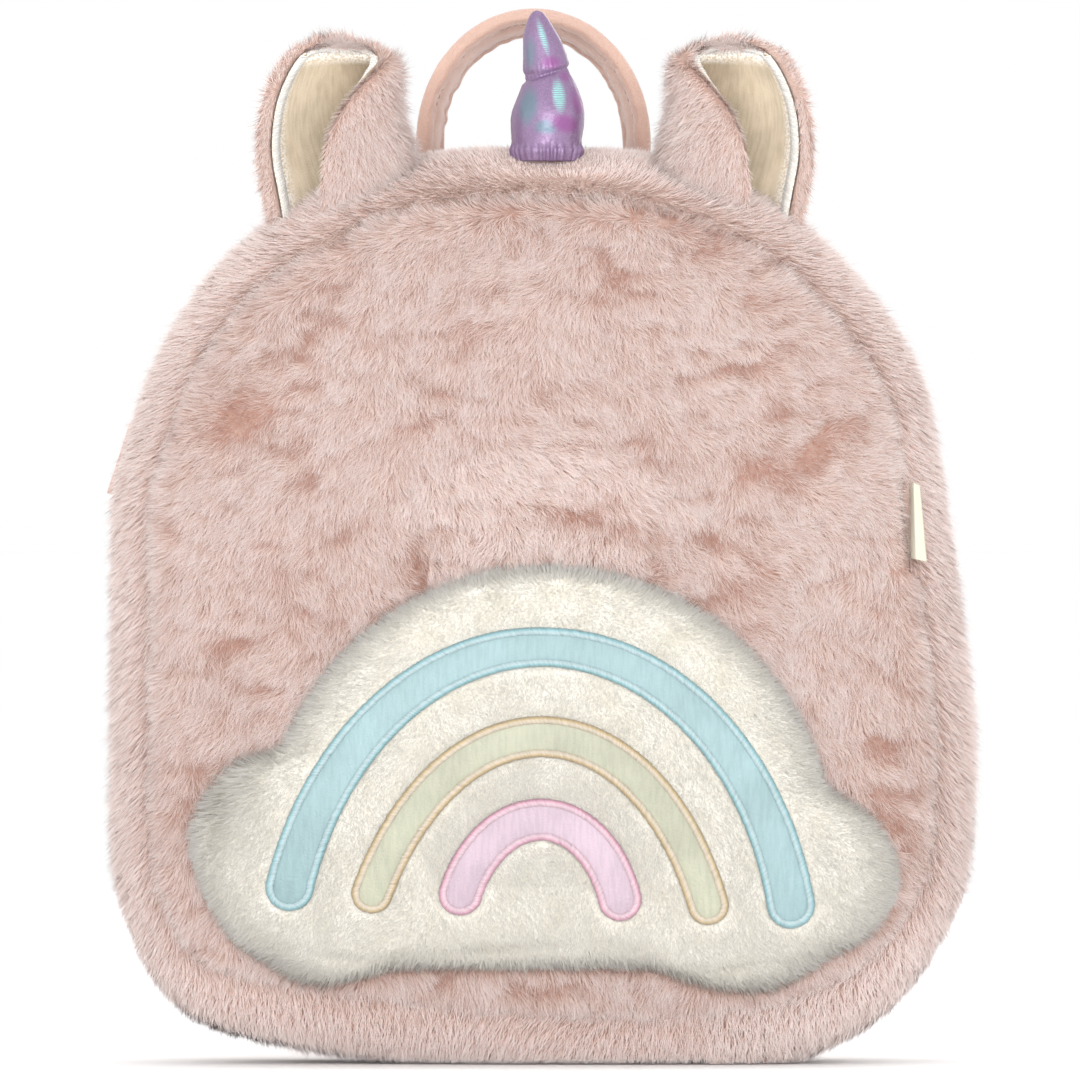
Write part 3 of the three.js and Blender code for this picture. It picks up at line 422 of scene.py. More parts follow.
def band_surface(s, across, depth=0.0, count=360):
    """The side band: each point of the outline is moved in along its normal by the seam inset times the
    distance across to the power 2.4, or 5 where it rests. across runs from -1 at the front seam to 1 at
    the back seam."""
    at, normal = outline(s, count)
    across = np.asarray(across, float)
    depth = np.broadcast_to(depth, (count, len(across)))
    power = 2.4 + 2.6 * np.minimum(normal[:, 1:], 0) ** 2
    inset = seam_inset(s, normal)[:, None] * np.abs(across)[None] ** power + depth
    x = at[:, :1] - normal[:, :1] * inset
    z = np.maximum(at[:, 1:] - normal[:, 1:] * inset, np.maximum(depth, 0))
    y = np.broadcast_to(across * (s["seam_half_depth"] - s["gap"] / 2), x.shape)
    return np.stack([x, y, z], axis=-1)


def centre(s):
    return np.array([0, s["body_height"] * 0.45])


def dome(share):
    """Height of a panel's dome: (1 - share cubed) to the power 0.6."""
    return np.maximum(1 - np.minimum(share, 1) ** 3, 0) ** 0.6


def bell(x, z, row, wide=1.0, high=1.0):
    """A Gaussian mound, turned and stretched: e to the minus squared distance from its middle."""
    turn = math.radians(row[4])
    dx, dz = x - row[0] * wide, z - row[1] * high
    u = dx * math.cos(turn) + dz * math.sin(turn)
    v = -dx * math.sin(turn) + dz * math.cos(turn)
    return np.exp(-((u / (row[2] * wide)) ** 2) - (v / (row[3] * high)) ** 2)


def dents(s, x, z):
    wide, high = s["body_half_width"], s["body_height"]
    return sum(row[5] * s["front_bulge"] * bell(x, z, row, wide, high) for row in FRONT_DENTS)


def panel_surface(s, side, shares, depth=0.0, count=360):
    """A front (-1) or back (1) panel: rays from its centre to its seam, domed by share of the way out,
    and on the front pushed in by the dents."""
    at, normal = outline(s, count)
    rim = at - normal * (seam_inset(s, normal) + depth)[:, None]
    shares = np.asarray(shares, float)
    flat = centre(s) + (rim - centre(s))[None] * shares[:, None, None]
    bulge = s["front_bulge"] if side < 0 else s["back_bulge"]
    dent = dents(s, flat[..., 0], flat[..., 1]) if side < 0 else 0
    lift = (bulge - depth - dent) * dome(shares)[:, None] + 0 * flat[..., 0]
    y = s["seam_half_depth"] + s["gap"] / 2 + lift
    return np.stack([flat[..., 0], side * y, flat[..., 1]], axis=-1)


def seam_reach(s, angle):
    """Distance from the panel's centre to its seam in each direction."""
    at, normal = outline(s, 720)
    arm = at - normal * seam_inset(s, normal)[:, None] - centre(s)
    turn = np.arctan2(arm[:, 1], arm[:, 0]) % (2 * np.pi)
    order = np.argsort(turn)
    return np.interp(angle % (2 * np.pi), turn[order], np.hypot(*arm.T)[order], period=2 * np.pi)


def panel_share(s, x, z):
    """How far a place lies on the way from the panel's centre to its seam."""
    dx, dz = x - centre(s)[0], z - centre(s)[1]
    return np.hypot(dx, dz) / seam_reach(s, np.arctan2(dz, dx))


def front_y(s, x, z):
    """Depth of the front's smooth surface."""
    share = panel_share(s, x, z)
    return -s["seam_half_depth"] - (s["front_bulge"] - dents(s, x, z)) * dome(share)


def cloud_edge(angle):
    """Distance from the cloud's centre to its edge as a share: a soft maximum of how far each ray stays in
    each lobe, the arch being cut off by the flat base."""
    ray = np.stack([np.cos(angle), np.sin(angle)], axis=-1)

    def leave(x, z, radius):
        along = ray @ np.array([x, z])
        under = radius**2 - (x * x + z * z - along**2)
        return np.where(under < 0, 0, along + np.sqrt(np.maximum(under, 0)))

    down = np.minimum(ray[..., 1], -1e-6)
    floor = np.where(ray[..., 1] < 0, CLOUD_BASE / down, 9)
    reaches = np.stack([np.minimum(leave(*CLOUD_ARCH), floor)] + [leave(*row) for row in CLOUD_LOBES])
    smooth = np.log(np.exp(24 * reaches).sum(0)) / 24
    return np.minimum(smooth, reaches.max(0) + 0.02)


CLOUD_TURN = np.linspace(-np.pi, np.pi, 1441)[:-1]
# Degrees to each side and weights of the mean that softens the cloud's notches.
EDGE_MEAN = ((-4, 0.06), (-2.5, 0.14), (-1.2, 0.2), (0, 0.2), (1.2, 0.2), (2.5, 0.14), (4, 0.06))
CLOUD_EDGE = sum(weight * cloud_edge(CLOUD_TURN + math.radians(step)) for step, weight in EDGE_MEAN)


def cloud_reach(s, angle):
    """The cloud's edge with its notches softened: a weighted mean over eight degrees."""
    return s["cloud_half_width"] * np.interp(angle, CLOUD_TURN, CLOUD_EDGE, period=2 * np.pi)


def cloud_share(s, x, z):
    dz = z - s["cloud_height"]
    return np.hypot(x, dz) / cloud_reach(s, np.arctan2(dz, x))


def cloud_front_y(s, x, z):
    """Depth of the cloud's front: the bag's front, raised by the root of one minus the share to the 8th."""
    puff = np.sqrt(np.maximum(0, 1 - np.minimum(cloud_share(s, x, z), 1) ** 8))
    return front_y(s, x, z) - s["gap"] - s["cloud_thickness"] * puff


# Meshes


def grid_faces(rows, columns, wrap_rows=False, wrap_columns=True, start=0):
    """Quads of a grid of points, row by row, closed round its columns or rows where asked."""
    r = np.arange(rows if wrap_rows else rows - 1)
    c = np.arange(columns if wrap_columns else columns - 1)
    r, c = np.meshgrid(r, c, indexing="ij")
    r1, c1 = (r + 1) % rows, (c + 1) % columns
    quads = np.stack([r * columns + c, r * columns + c1, r1 * columns + c1, r1 * columns + c], axis=-1)
    return quads.reshape(-1, 4) + start


def make_mesh(name, points, quads, triangles=None, uv=None, smooth=True, flip=False):
    """A mesh object from arrays of points in millimetres, quads and triangles. uv is one pair a point."""
    quads = np.asarray(quads, np.int32).reshape(-1, 4)
    triangles = np.zeros((0, 3), np.int32) if triangles is None else np.asarray(triangles, np.int32)
    if flip:
        quads, triangles = quads[:, ::-1], triangles[:, ::-1]
    mesh = bpy.data.meshes.new(name)
    mesh.vertices.add(len(points))
    mesh.vertices.foreach_set("co", (np.asarray(points) * MM).astype(np.float32).ravel())
    loops = np.concatenate([quads.ravel(), triangles.ravel()]).astype(np.int32)
    sides = np.concatenate([np.full(len(quads), 4), np.full(len(triangles), 3)])
    mesh.loops.add(len(loops))
    mesh.loops.foreach_set("vertex_index", loops)
    mesh.polygons.add(len(sides))
    starts = np.concatenate([[0], np.cumsum(sides)[:-1]]).astype(np.int32)
    mesh.polygons.foreach_set("loop_start", starts)
    mesh.polygons.foreach_set("use_smooth", np.full(len(sides), smooth))
    if uv is not None:
        layer = mesh.uv_layers.new(name="cloth")
        layer.data.foreach_set("uv", np.asarray(uv, np.float32)[loops].ravel())
    mesh.update(calc_edges=True)
    mesh.validate()
    made = bpy.data.objects.new(name, mesh)
    bpy.context.scene.collection.objects.link(made)
    return made


def signed_volume(points, quads, triangles):
    """Six times the volume inside a closed surface: the sum of its triangles' triple products."""
    tris = np.concatenate([quads[:, [0, 1, 2]], quads[:, [0, 2, 3]], triangles])
    a, b, c = points[tris[:, 0]], points[tris[:, 1]], points[tris[:, 2]]
    return np.einsum("ij,ij->i", a, np.cross(b, c)).sum()


def closed_rings(name, rings, uv=None):
    """A closed body skinned over rings of equal length, each end closed by a fan to its middle."""
    rings = np.asarray(rings)
    rows, columns = rings.shape[:2]
    points = np.concatenate([rings.reshape(-1, 3), rings[:1].mean(1), rings[-1:].mean(1)])
    quads = grid_faces(rows, columns)
    i = np.arange(columns)
    j = (i + 1) % columns
    low = np.stack([np.full(columns, rows * columns), j, i], axis=1)
    top = (rows - 1) * columns
    high = np.stack([np.full(columns, rows * columns + 1), top + i, top + j], axis=1)
    triangles = np.concatenate([low, high])
    flip = signed_volume(points, quads, triangles) < 0
    if uv is not None:
        uv = np.concatenate([uv.reshape(-1, 2), uv[:1].mean(1), uv[-1:].mean(1)])
    return make_mesh(name, points, quads, triangles, uv, flip=flip)


def wrapped_rings(name, rings, uv=None):
    """A closed body skinned over rings that come round to the first again."""
    rings = np.asarray(rings)
    points = rings.reshape(-1, 3)
    quads = grid_faces(*rings.shape[:2], wrap_rows=True)
    flip = signed_volume(points, quads, np.zeros((0, 3), int)) < 0
    return make_mesh(name, points, quads, None, None if uv is None else uv.reshape(-1, 2), flip=flip)


def finish_piece(piece, material, replaced=()):
    piece.data.materials.append(material)
    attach(piece, "root")
    if replaced:
        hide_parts(*replaced)
    return piece


def keep_node(name, material, edge):
    """Dresses a hard piece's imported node: its facets joined, its edges rounded and a new material."""
    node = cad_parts[name]
    node.data.materials.clear()
    node.data.materials.append(material)
    weld = node.modifiers.new("join facets", "WELD")
    weld.merge_threshold = 1e-5
    bevel = node.modifiers.new("round edges", "BEVEL")
    bevel.width, bevel.segments, bevel.limit_method = edge, 2, "ANGLE"


# Pile


def grid_normals(grid, outward):
    """Normals of a grid surface: the cross product of its two differences, turned to agree with outward."""
    n = unit(np.cross(np.gradient(grid, axis=0), np.gradient(grid, axis=1)))
    return n * np.sign((n * outward).sum(-1, keepdims=True) + 1e-9)


def scatter_roots(grid, normals, count, rng, keep=None):
    """Roots spread evenly by area over a grid surface: a cell is drawn in proportion to its area, and the
    root is placed in it by two random shares. keep is a share from 0 to 1 for each cell."""
    a, b, c = grid[:-1, :-1], grid[1:, :-1], grid[:-1, 1:]
    area = np.linalg.norm(np.cross(b - a, c - a), axis=-1)
    if keep is not None:
        area = area * keep
    chance = np.cumsum(area.ravel())
    drawn = np.searchsorted(chance, (rng.random(count) + np.arange(count)) / count * chance[-1])
    r, k = np.unravel_index(np.minimum(drawn, area.size - 1), area.shape)
    u, v = rng.random((2, count, 1))

    def blend(field):
        low = field[r, k] * (1 - v) + field[r, k + 1] * v
        high = field[r + 1, k] * (1 - v) + field[r + 1, k + 1] * v
        return low * (1 - u) + high * u

    return blend(grid), unit(blend(normals))


def clump_pull(roots, size, seed):
    """The vector from each root to the middle of its lock, the nearest jittered point of a lattice, and the
    lock's own number from 0 to 1."""
    cell = np.floor(roots / size).astype(np.int64)
    best, pull, tag = np.full(len(roots), 1e9), np.zeros_like(roots), np.zeros(len(roots))
    for step in np.ndindex(3, 3, 3):
        at = cell + np.array(step) - 1
        jitter = np.stack([lattice(at, seed + i) for i in range(3)], axis=-1)
        arm = (at + jitter) * size - roots
        far = (arm**2).sum(-1)
        near = far < best
        best[near], pull[near], tag[near] = far[near], arm[near], lattice(at, seed + 7)[near]
    return pull, tag


def pile(
    name,
    roots,
    normals,
    comb,
    length,
    width,
    tone,
    rng,
    lift=(40, 15),
    clump=2.2,
    draw=0.2,
    low=None,
    toward=(0, 0, 0),
):
    """A field of tapered hairs. Each rises from its root at the first lift angle and bends over to the
    second, along the comb direction laid in the surface, and its tip is drawn towards the middle of its
    lock. A twelfth of them have three faces and so a bend, and the rest are single long triangles. uv holds
    a hair's tone and the place along it. toward turns the shading normals a little to one side."""
    n = len(roots)
    comb = comb - (comb * normals).sum(-1, keepdims=True) * normals
    side = unit(np.cross(normals, unit(comb)))
    comb = unit(unit(comb) + side * rng.normal(0, 0.38, (n, 1)))
    pull, tag = clump_pull(roots, clump, len(name))
    pull = pull - (pull * normals).sum(-1, keepdims=True) * normals
    length = (length * rng.uniform(0.7, 1.15, n) * (0.86 + 0.28 * tag))[:, None]
    first = np.radians(lift[0] + rng.normal(0, 10, n) + 16 * (tag - 0.5))[:, None]
    last = np.radians(lift[1] + rng.normal(0, 10, n) + 14 * (tag - 0.5))[:, None]
    middle = roots + 0.45 * length * (comb * np.cos(first) + normals * np.sin(first)) + pull * draw * 0.35
    tip = middle + 0.55 * length * (comb * np.cos(last) + normals * np.sin(last)) + pull * draw
    side = unit(np.cross(tip - roots, normals))
    roll = rng.normal(0, 0.55, (n, 1))
    side = unit(side * np.cos(roll) + normals * np.sin(roll)) * width / 2
    foot = roots - normals * 0.5
    bent = n // 12
    waist = side * 0.8
    curved = np.stack([foot - side, foot + side, middle - waist, middle + waist, tip], axis=1)[:bent]
    straight = np.stack([foot - side * 1.2, foot + side * 1.2, tip], axis=1)[bent:]
    points = np.concatenate([curved.reshape(-1, 3), straight.reshape(-1, 3)])
    if low is not None:
        points[:, 2] = np.maximum(points[:, 2], low)
    shade = np.clip(tone + 0.1 * (tag - 0.5) + rng.normal(0, 0.15, n), 0.01, 0.99)
    owner = np.concatenate([np.repeat(np.arange(bent), 5), np.repeat(np.arange(bent, n), 3)])
    along_curved = np.tile([0.02, 0.02, 0.5, 0.5, 0.98], bent)
    along = np.concatenate([along_curved, np.tile([0.02, 0.02, 0.98], n - bent)])
    uv = np.stack([shade[owner], along], axis=-1)
    start = np.arange(bent)[:, None] * 5
    rest = bent * 5 + np.arange(n - bent)[:, None] * 3
    faces = np.concatenate([start + [0, 1, 3], start + [0, 3, 2], start + [2, 3, 4], rest + [0, 1, 2]])
    made = make_mesh(name, points, np.zeros((0, 4)), faces, uv)
    facing = unit(normals + rng.normal(0, 0.2, (n, 3))) + comb * 0.25 + np.array(toward)
    facing[:, 2] = np.maximum(facing[:, 2], -0.25)
    facing = unit(facing)[owner]
    made.data.normals_split_custom_set_from_vertices(facing.astype(np.float32))
    return made


def parting(x, z):
    """How open the front's pile is, and the direction away from the middle of each parting."""
    total, away = np.zeros_like(x), np.zeros((*x.shape, 2))
    for row in PARTINGS:
        g = row[5] * bell(x, z, row)
        turn = math.radians(row[4])
        v = -(x - row[0]) * math.sin(turn) + (z - row[1]) * math.cos(turn)
        push = (g * np.tanh(v / (row[3] * 0.5)))[..., None]
        away += push * np.array([-math.sin(turn), math.cos(turn)])
        total += g
    return np.minimum(total, 1), away


def front_comb(points):
    """The way the front's pile is stroked: down and out to the sides, turned by slow swirls."""
    x, z = points[:, 0], points[:, 2]
    flat = points * [1, 0, 1]
    swirl = 0.7 * noise(flat, 46, 3) + 0.5 * noise(flat, 17, 4)
    swirl = swirl + 0.5 * noise(flat, 7, 5) + 0.4 * noise(flat, 3.4, 6)
    base = np.arctan2(-np.ones_like(x), 0.75 * np.sin(np.clip(x / 95, -1.4, 1.4))) + swirl
    comb = np.stack([np.cos(base), np.zeros_like(x), np.sin(base)], axis=-1)
    _, away = parting(x, z)
    comb[:, 0] += 1.5 * away[:, 0]
    comb[:, 2] += 1.5 * away[:, 1]
    return unit(comb)


# Materials


def new_material(name):
    made = bpy.data.materials.new(name)
    made.use_nodes = True
    tree = made.node_tree
    return made, tree, tree.nodes["Principled BSDF"]


def add_node(tree, kind, settings=None, **inputs):
    node = tree.nodes.new(kind)
    for key, value in (settings or {}).items():
        setattr(node, key, value)
    for key, value in inputs.items():
        socket = node.inputs[int(key[1:])] if key[0] == "_" else node.inputs[key.replace("_", " ")]
        if isinstance(value, bpy.types.NodeSocket):
            tree.links.new(value, socket)
        else:
            socket.default_value = value
    return node


def set_inputs(shader, **values):
    """Sets the shader's own sockets, whose names are given with underscores for spaces."""
    for name, value in values.items():
        shader.inputs[name.replace("_", " ")].default_value = value


def ramp(tree, factor, stops):
    """A colour ramp over factor with the given (place, RGBA) stops."""
    node = add_node(tree, "ShaderNodeValToRGB", _0=factor)
    elements = node.color_ramp.elements
    while len(elements) < len(stops):
        elements.new(0.5)
    for element, (place, rgba) in zip(elements, stops):
        element.position, element.color = place, rgba
    return node.outputs["Color"]


def mix_colour(tree, factor, a, b, blend="MIX"):
    node = add_node(tree, "ShaderNodeMix", {"data_type": "RGBA", "blend_type": blend}, _0=factor, _6=a, _7=b)
    return node.outputs[2]


def scaled(rgba, by):
    """A colour made darker or lighter, within 1, as RGBA."""
    return (*(min(1, c * by) for c in rgba[:3]), 1)


def arithmetic(tree, operation, a, b=0.0):
    return add_node(tree, "ShaderNodeMath", {"operation": operation}, _0=a, _1=b).outputs[0]


def place(tree):
    return add_node(tree, "ShaderNodeTexCoord").outputs["Object"]


def uv_axes(tree):
    uv = add_node(tree, "ShaderNodeUVMap", {"uv_map": "cloth"}).outputs["UV"]
    parts = add_node(tree, "ShaderNodeSeparateXYZ", _0=uv)
    return uv, parts.outputs["X"], parts.outputs["Y"]


def bump(tree, shader, height, strength, distance):
    node = add_node(tree, "ShaderNodeBump", Strength=strength, Distance=distance, Height=height)
    tree.links.new(node.outputs["Normal"], shader.inputs["Normal"])


def cloth_grain_group():
    """Node group: fine fibre noise and slow unevenness over Object coordinates, as a height and a mask."""
    name = "cloth grain"
    if name in bpy.data.node_groups:
        return bpy.data.node_groups[name]
    group = bpy.data.node_groups.new(name, "ShaderNodeTree")
    face = group.interface
    face.new_socket("Vector", in_out="INPUT", socket_type="NodeSocketVector")
    for label, value in (("Fibre Scale", 2600.0), ("Patch Scale", 90.0)):
        face.new_socket(label, in_out="INPUT", socket_type="NodeSocketFloat").default_value = value
    face.new_socket("Height", in_out="OUTPUT", socket_type="NodeSocketFloat")
    face.new_socket("Patch", in_out="OUTPUT", socket_type="NodeSocketFloat")
    enter = group.nodes.new("NodeGroupInput")
    leave = group.nodes.new("NodeGroupOutput")
    fibre = add_node(group, "ShaderNodeTexNoise", Vector=enter.outputs[0], Scale=enter.outputs[1], Detail=3.0)
    patch = add_node(group, "ShaderNodeTexNoise", Vector=enter.outputs[0], Scale=enter.outputs[2], Detail=4.0)
    group.links.new(fibre.outputs[0], leave.inputs[0])
    group.links.new(patch.outputs[0], leave.inputs[1])
    return group


def grain(tree, fibre, patch):
    node = tree.nodes.new("ShaderNodeGroup")
    node.node_tree = cloth_grain_group()
    tree.links.new(place(tree), node.inputs[0])
    node.inputs[1].default_value = fibre
    node.inputs[2].default_value = patch
    return node.outputs[0], node.outputs[1]


def pile_material(name, root, body, tip, dark, light, roughness=0.8, sheen=0.25):
    """Hairs: their colour runs from root to tip along uv's second axis and is toned by its first. The darker
    roots and paler tips are partly the pile's own colours and partly painted shade deep in the pile and a
    painted highlight on the tips.
    """
    made, tree, shader = new_material(name)
    _, tone, along = uv_axes(tree)
    base = ramp(tree, along, [(0.0, root), (0.45, body), (1.0, tip)])
    toned = ramp(tree, tone, [(0.0, dark), (0.55, (1, 1, 1, 1)), (1.0, light)])
    tree.links.new(mix_colour(tree, 1.0, base, toned, "MULTIPLY"), shader.inputs["Base Color"])
    set_inputs(shader, Roughness=roughness, Sheen_Weight=sheen, Sheen_Roughness=0.45, Specular_IOR_Level=0.25)
    return made


def backing_material(name, deep, pale, fibre=900, patch=120):
    """The dense short underfur between the hairs."""
    made, tree, shader = new_material(name)
    height, mask = grain(tree, fibre, patch)
    tree.links.new(ramp(tree, mask, [(0.3, deep), (0.7, pale)]), shader.inputs["Base Color"])
    bump(tree, shader, height, 0.8, 0.0012)
    set_inputs(shader, Roughness=0.95, Sheen_Weight=0.3)
    return made


def velour_material(name, rgba, shade=0.86):
    """Short upright pile: fine grain, brushed patches that lie lighter or darker, and a soft sheen."""
    made, tree, shader = new_material(name)
    height, mask = grain(tree, 2200, 34)
    deep = scaled(rgba, shade)
    pale = scaled(rgba, 1.04)
    brushed = ramp(tree, mask, [(0.2, deep), (0.8, pale)])
    speck = ramp(tree, height, [(0.3, (0.86, 0.84, 0.83, 1)), (0.7, (1, 1, 1, 1))])
    tree.links.new(mix_colour(tree, 1.0, brushed, speck, "MULTIPLY"), shader.inputs["Base Color"])
    bump(tree, shader, height, 0.6, 0.0006)
    set_inputs(shader, Roughness=0.9, Sheen_Weight=0.7, Sheen_Roughness=0.4)
    return made


def woven_material(name, rgba, pitch=0.7, roughness=0.75):
    """Webbing and tape: two crossed waves over the cloth's own lengths, as a plain weave."""
    made, tree, shader = new_material(name)
    _, along, across = uv_axes(tree)
    warp = arithmetic(tree, "SINE", arithmetic(tree, "MULTIPLY", along, 2 * math.pi / pitch))
    weft = arithmetic(tree, "SINE", arithmetic(tree, "MULTIPLY", across, 2 * math.pi / pitch))
    weave = arithmetic(tree, "MULTIPLY", warp, weft)
    shade = arithmetic(tree, "MULTIPLY_ADD", weave, 0.5)
    tree.nodes[-1].inputs[2].default_value = 0.5
    deep = scaled(rgba, 0.72)
    tree.links.new(ramp(tree, shade, [(0.1, deep), (0.8, rgba)]), shader.inputs["Base Color"])
    bump(tree, shader, shade, 0.5, 0.0004)
    set_inputs(shader, Roughness=roughness, Sheen_Weight=0.2)
    return made


def satin_material(name, rgba, pale=1.08, roughness=0.42):
    """A stripe's satin: a soft brushed cloth with faint ripples and slow tone changes."""
    made, tree, shader = new_material(name)
    height, mask = grain(tree, 1500, 45)
    deep = scaled(rgba, 0.88)
    light = scaled(rgba, pale)
    brushed = add_node(
        tree, "ShaderNodeMapping", Vector=place(tree), Rotation=(0.0, 0.5, 0.0), Scale=(900.0, 300.0, 160.0)
    )
    nap = add_node(tree, "ShaderNodeTexNoise", Vector=brushed.outputs[0], Scale=1.0, Detail=3.0)
    streaks = ramp(tree, nap.outputs[0], [(0.35, (0.88, 0.9, 0.9, 1)), (0.6, (1, 1, 1, 1))])
    body = ramp(tree, mask, [(0.34, deep), (0.66, light)])
    tree.links.new(mix_colour(tree, 1.0, body, streaks, "MULTIPLY"), shader.inputs["Base Color"])
    bump(tree, shader, height, 0.5, 0.0005)
    set_inputs(shader, Roughness=roughness, Sheen_Weight=0.5)
    return made


def thread_material(name, rgba, roughness=0.34, shade=0.55):
    """Rayon thread: shiny along its length, each strand a little lighter or darker, and across each ridge
    painted shade at its sides and a pale painted highlight along its middle.
    """
    made, tree, shader = new_material(name)
    _, strand, across = uv_axes(tree)
    toned = ramp(tree, strand, [(0.0, (0.82, 0.82, 0.82, 1)), (1.0, (1, 1, 1, 1))])
    deep = scaled(rgba, shade)
    pale = tuple(min(1, c * 0.55 + 0.24) for c in rgba[:3]) + (1,)
    # Painted light: across each ridge the thread is drawn darker at both sides as painted shade and
    # near-white along its middle as a painted highlight.
    ridge = ramp(tree, across, [(0.0, deep), (0.28, rgba), (0.5, pale), (0.78, pale), (1.0, deep)])
    tree.links.new(mix_colour(tree, 1.0, toned, ridge, "MULTIPLY"), shader.inputs["Base Color"])
    set_inputs(shader, Roughness=roughness, Anisotropic=0.4, Sheen_Weight=0.2)
    return made


def foil_material():
    """Iridescent foil cloth: lilac, with a soft-edged ellipsoid of another hue for each row of FOIL_PATCHES,
    the mint ones a painted highlight with fine ribs and the blue-grey ones a painted sheen, and fine crinkles
    all over."""
    made, tree, shader = new_material("horn foil")
    at = place(tree)
    bag_top = sizes()["body_height"]
    glitter = add_node(tree, "ShaderNodeTexNoise", Vector=at, Scale=2600.0, Detail=2.0).outputs[0]
    base = ramp(tree, glitter, [(0.3, scaled(colour("horn_lilac"), 0.72)), (0.6, colour("horn_lilac"))])
    waves = {"bands_direction": "Z"}
    ribs = add_node(tree, "ShaderNodeTexWave", waves, Vector=at, Scale=480.0, Distortion=2.0, Detail=1.0)
    ribs = ribs.outputs[1]
    ribbed = ramp(tree, ribs, [(0.2, (0.35, 0.35, 0.35, 1)), (0.6, (1, 1, 1, 1))])
    shine = None
    for name, x, z, wide, high, turn in FOIL_PATCHES:
        centre_at = ((x + HORN_X) * MM, -0.028, (bag_top + z) * MM)
        local = add_node(
            tree,
            "ShaderNodeMapping",
            {"vector_type": "TEXTURE"},
            Vector=at,
            Location=centre_at,
            Rotation=(0.0, math.radians(turn), 0.0),
            Scale=(wide * MM, 0.014, high * MM),
        )
        far = add_node(tree, "ShaderNodeVectorMath", {"operation": "LENGTH"}, _0=local.outputs[0])
        rough_far = arithmetic(
            tree, "ADD", far.outputs["Value"], arithmetic(tree, "MULTIPLY", glitter, 0.5)
        )
        mask = ramp(tree, rough_far, [(0.6, (1, 1, 1, 1)), (1.3, (0, 0, 0, 1))])
        # The mint patches are a painted highlight, broken by the foil's fine ribs.
        if name == "horn_mint_highlight":
            mask = mix_colour(tree, 1.0, mask, ribbed, "MULTIPLY")
            shine = mask if shine is None else mix_colour(tree, 1.0, shine, mask, "LIGHTEN")
        base = mix_colour(tree, mask, base, colour(name))
    tree.links.new(base, shader.inputs["Base Color"])
    squeezed = add_node(tree, "ShaderNodeMapping", Vector=at, Scale=(700.0, 700.0, 1100.0))
    crinkle = add_node(tree, "ShaderNodeTexNoise", Vector=squeezed.outputs[0], Scale=1.0, Detail=3.0)
    relief = arithmetic(tree, "ADD", arithmetic(tree, "MULTIPLY", shine, ribs), crinkle.outputs[0])
    bump(tree, shader, relief, 0.45, 0.0003)
    set_inputs(shader, Metallic=0.35, Roughness=0.4, Coat_Weight=0.15)
    return made


def lining_material():
    """Ear velvet with a border drawn as pale thread, which is a painted highlight of the velvet's sheen along
    its edge, and painted shade round the cup:
    uv's first axis runs round the cup and its second up the ear."""
    made, tree, shader = new_material("ear velvet")
    _, around, up = uv_axes(tree)
    height, mask = grain(tree, 2400, 110)
    velvet = colour("lining")
    deep = scaled(velvet, 0.8)
    cloth = ramp(tree, mask, [(0.35, deep), (0.65, velvet)])
    # Painted highlight: the lining's border is mixed towards near-white in thread-like specks, standing for
    # the velvet's sheen along its edge.
    shine = add_node(tree, "ShaderNodeTexNoise", Vector=place(tree), Scale=1500.0, Detail=2.0)
    threads = ramp(tree, shine.outputs[0], [(0.42, colour("lining")), (0.55, colour("lining_edge_sheen"))])
    edge = ramp(tree, around, [(0.09, (1, 1, 1, 1)), (0.15, (0, 0, 0, 1))])
    crown = ramp(tree, up, [(0.8, (0, 0, 0, 1)), (0.9, (1, 1, 1, 1))])
    border = mix_colour(tree, 1.0, edge, crown, "LIGHTEN")
    # Painted shade: the velvet is drawn darker and browner part way round the cup, darkest a little past
    # halfway, and lighter towards both edges.
    grey = [(0.1, 1.0), (0.25, 0.95), (0.38, 0.8), (0.5, 0.66), (0.58, 0.58), (0.75, 0.75), (1.0, 0.95)]
    painted_fold_shade = ramp(tree, around, [(t, (g, g**1.15, g**1.35, 1)) for t, g in grey])
    uv = add_node(tree, "ShaderNodeUVMap", {"uv_map": "cloth"}).outputs["UV"]
    stretched = add_node(tree, "ShaderNodeMapping", Vector=uv, Scale=(70.0, 7.0, 1.0))
    nap = add_node(tree, "ShaderNodeTexNoise", Vector=stretched.outputs[0], Scale=1.0, Detail=2.0)
    lines = ramp(tree, nap.outputs[0], [(0.35, (0.86, 0.84, 0.8, 1)), (0.6, (1, 1, 1, 1))])
    cloth = mix_colour(tree, 1.0, mix_colour(tree, 1.0, cloth, painted_fold_shade, "MULTIPLY"), lines, "MULTIPLY")
    tree.links.new(mix_colour(tree, border, cloth, threads), shader.inputs["Base Color"])
    bump(tree, shader, height, 0.5, 0.0005)
    set_inputs(shader, Roughness=0.7, Sheen_Weight=0.7)
    return made


def plastic_material(name, rgba):
    """Satin moulded plastic with a faint mould grain."""
    made, tree, shader = new_material(name)
    height, mask = grain(tree, 1800, 60)
    tree.links.new(
        ramp(tree, mask, [(0.3, scaled(rgba, 0.94)), (0.7, rgba)]), shader.inputs["Base Color"]
    )
    bump(tree, shader, height, 0.15, 0.0001)
    set_inputs(shader, Roughness=0.38)
    return made


class PieceOperator(bpy.types.Operator):
    """Base of the operators that each make one piece or group of like pieces."""

    bl_options = {"REGISTER", "UNDO"}

    def execute(self, context):
        self.build(sizes())
        return {"FINISHED"}


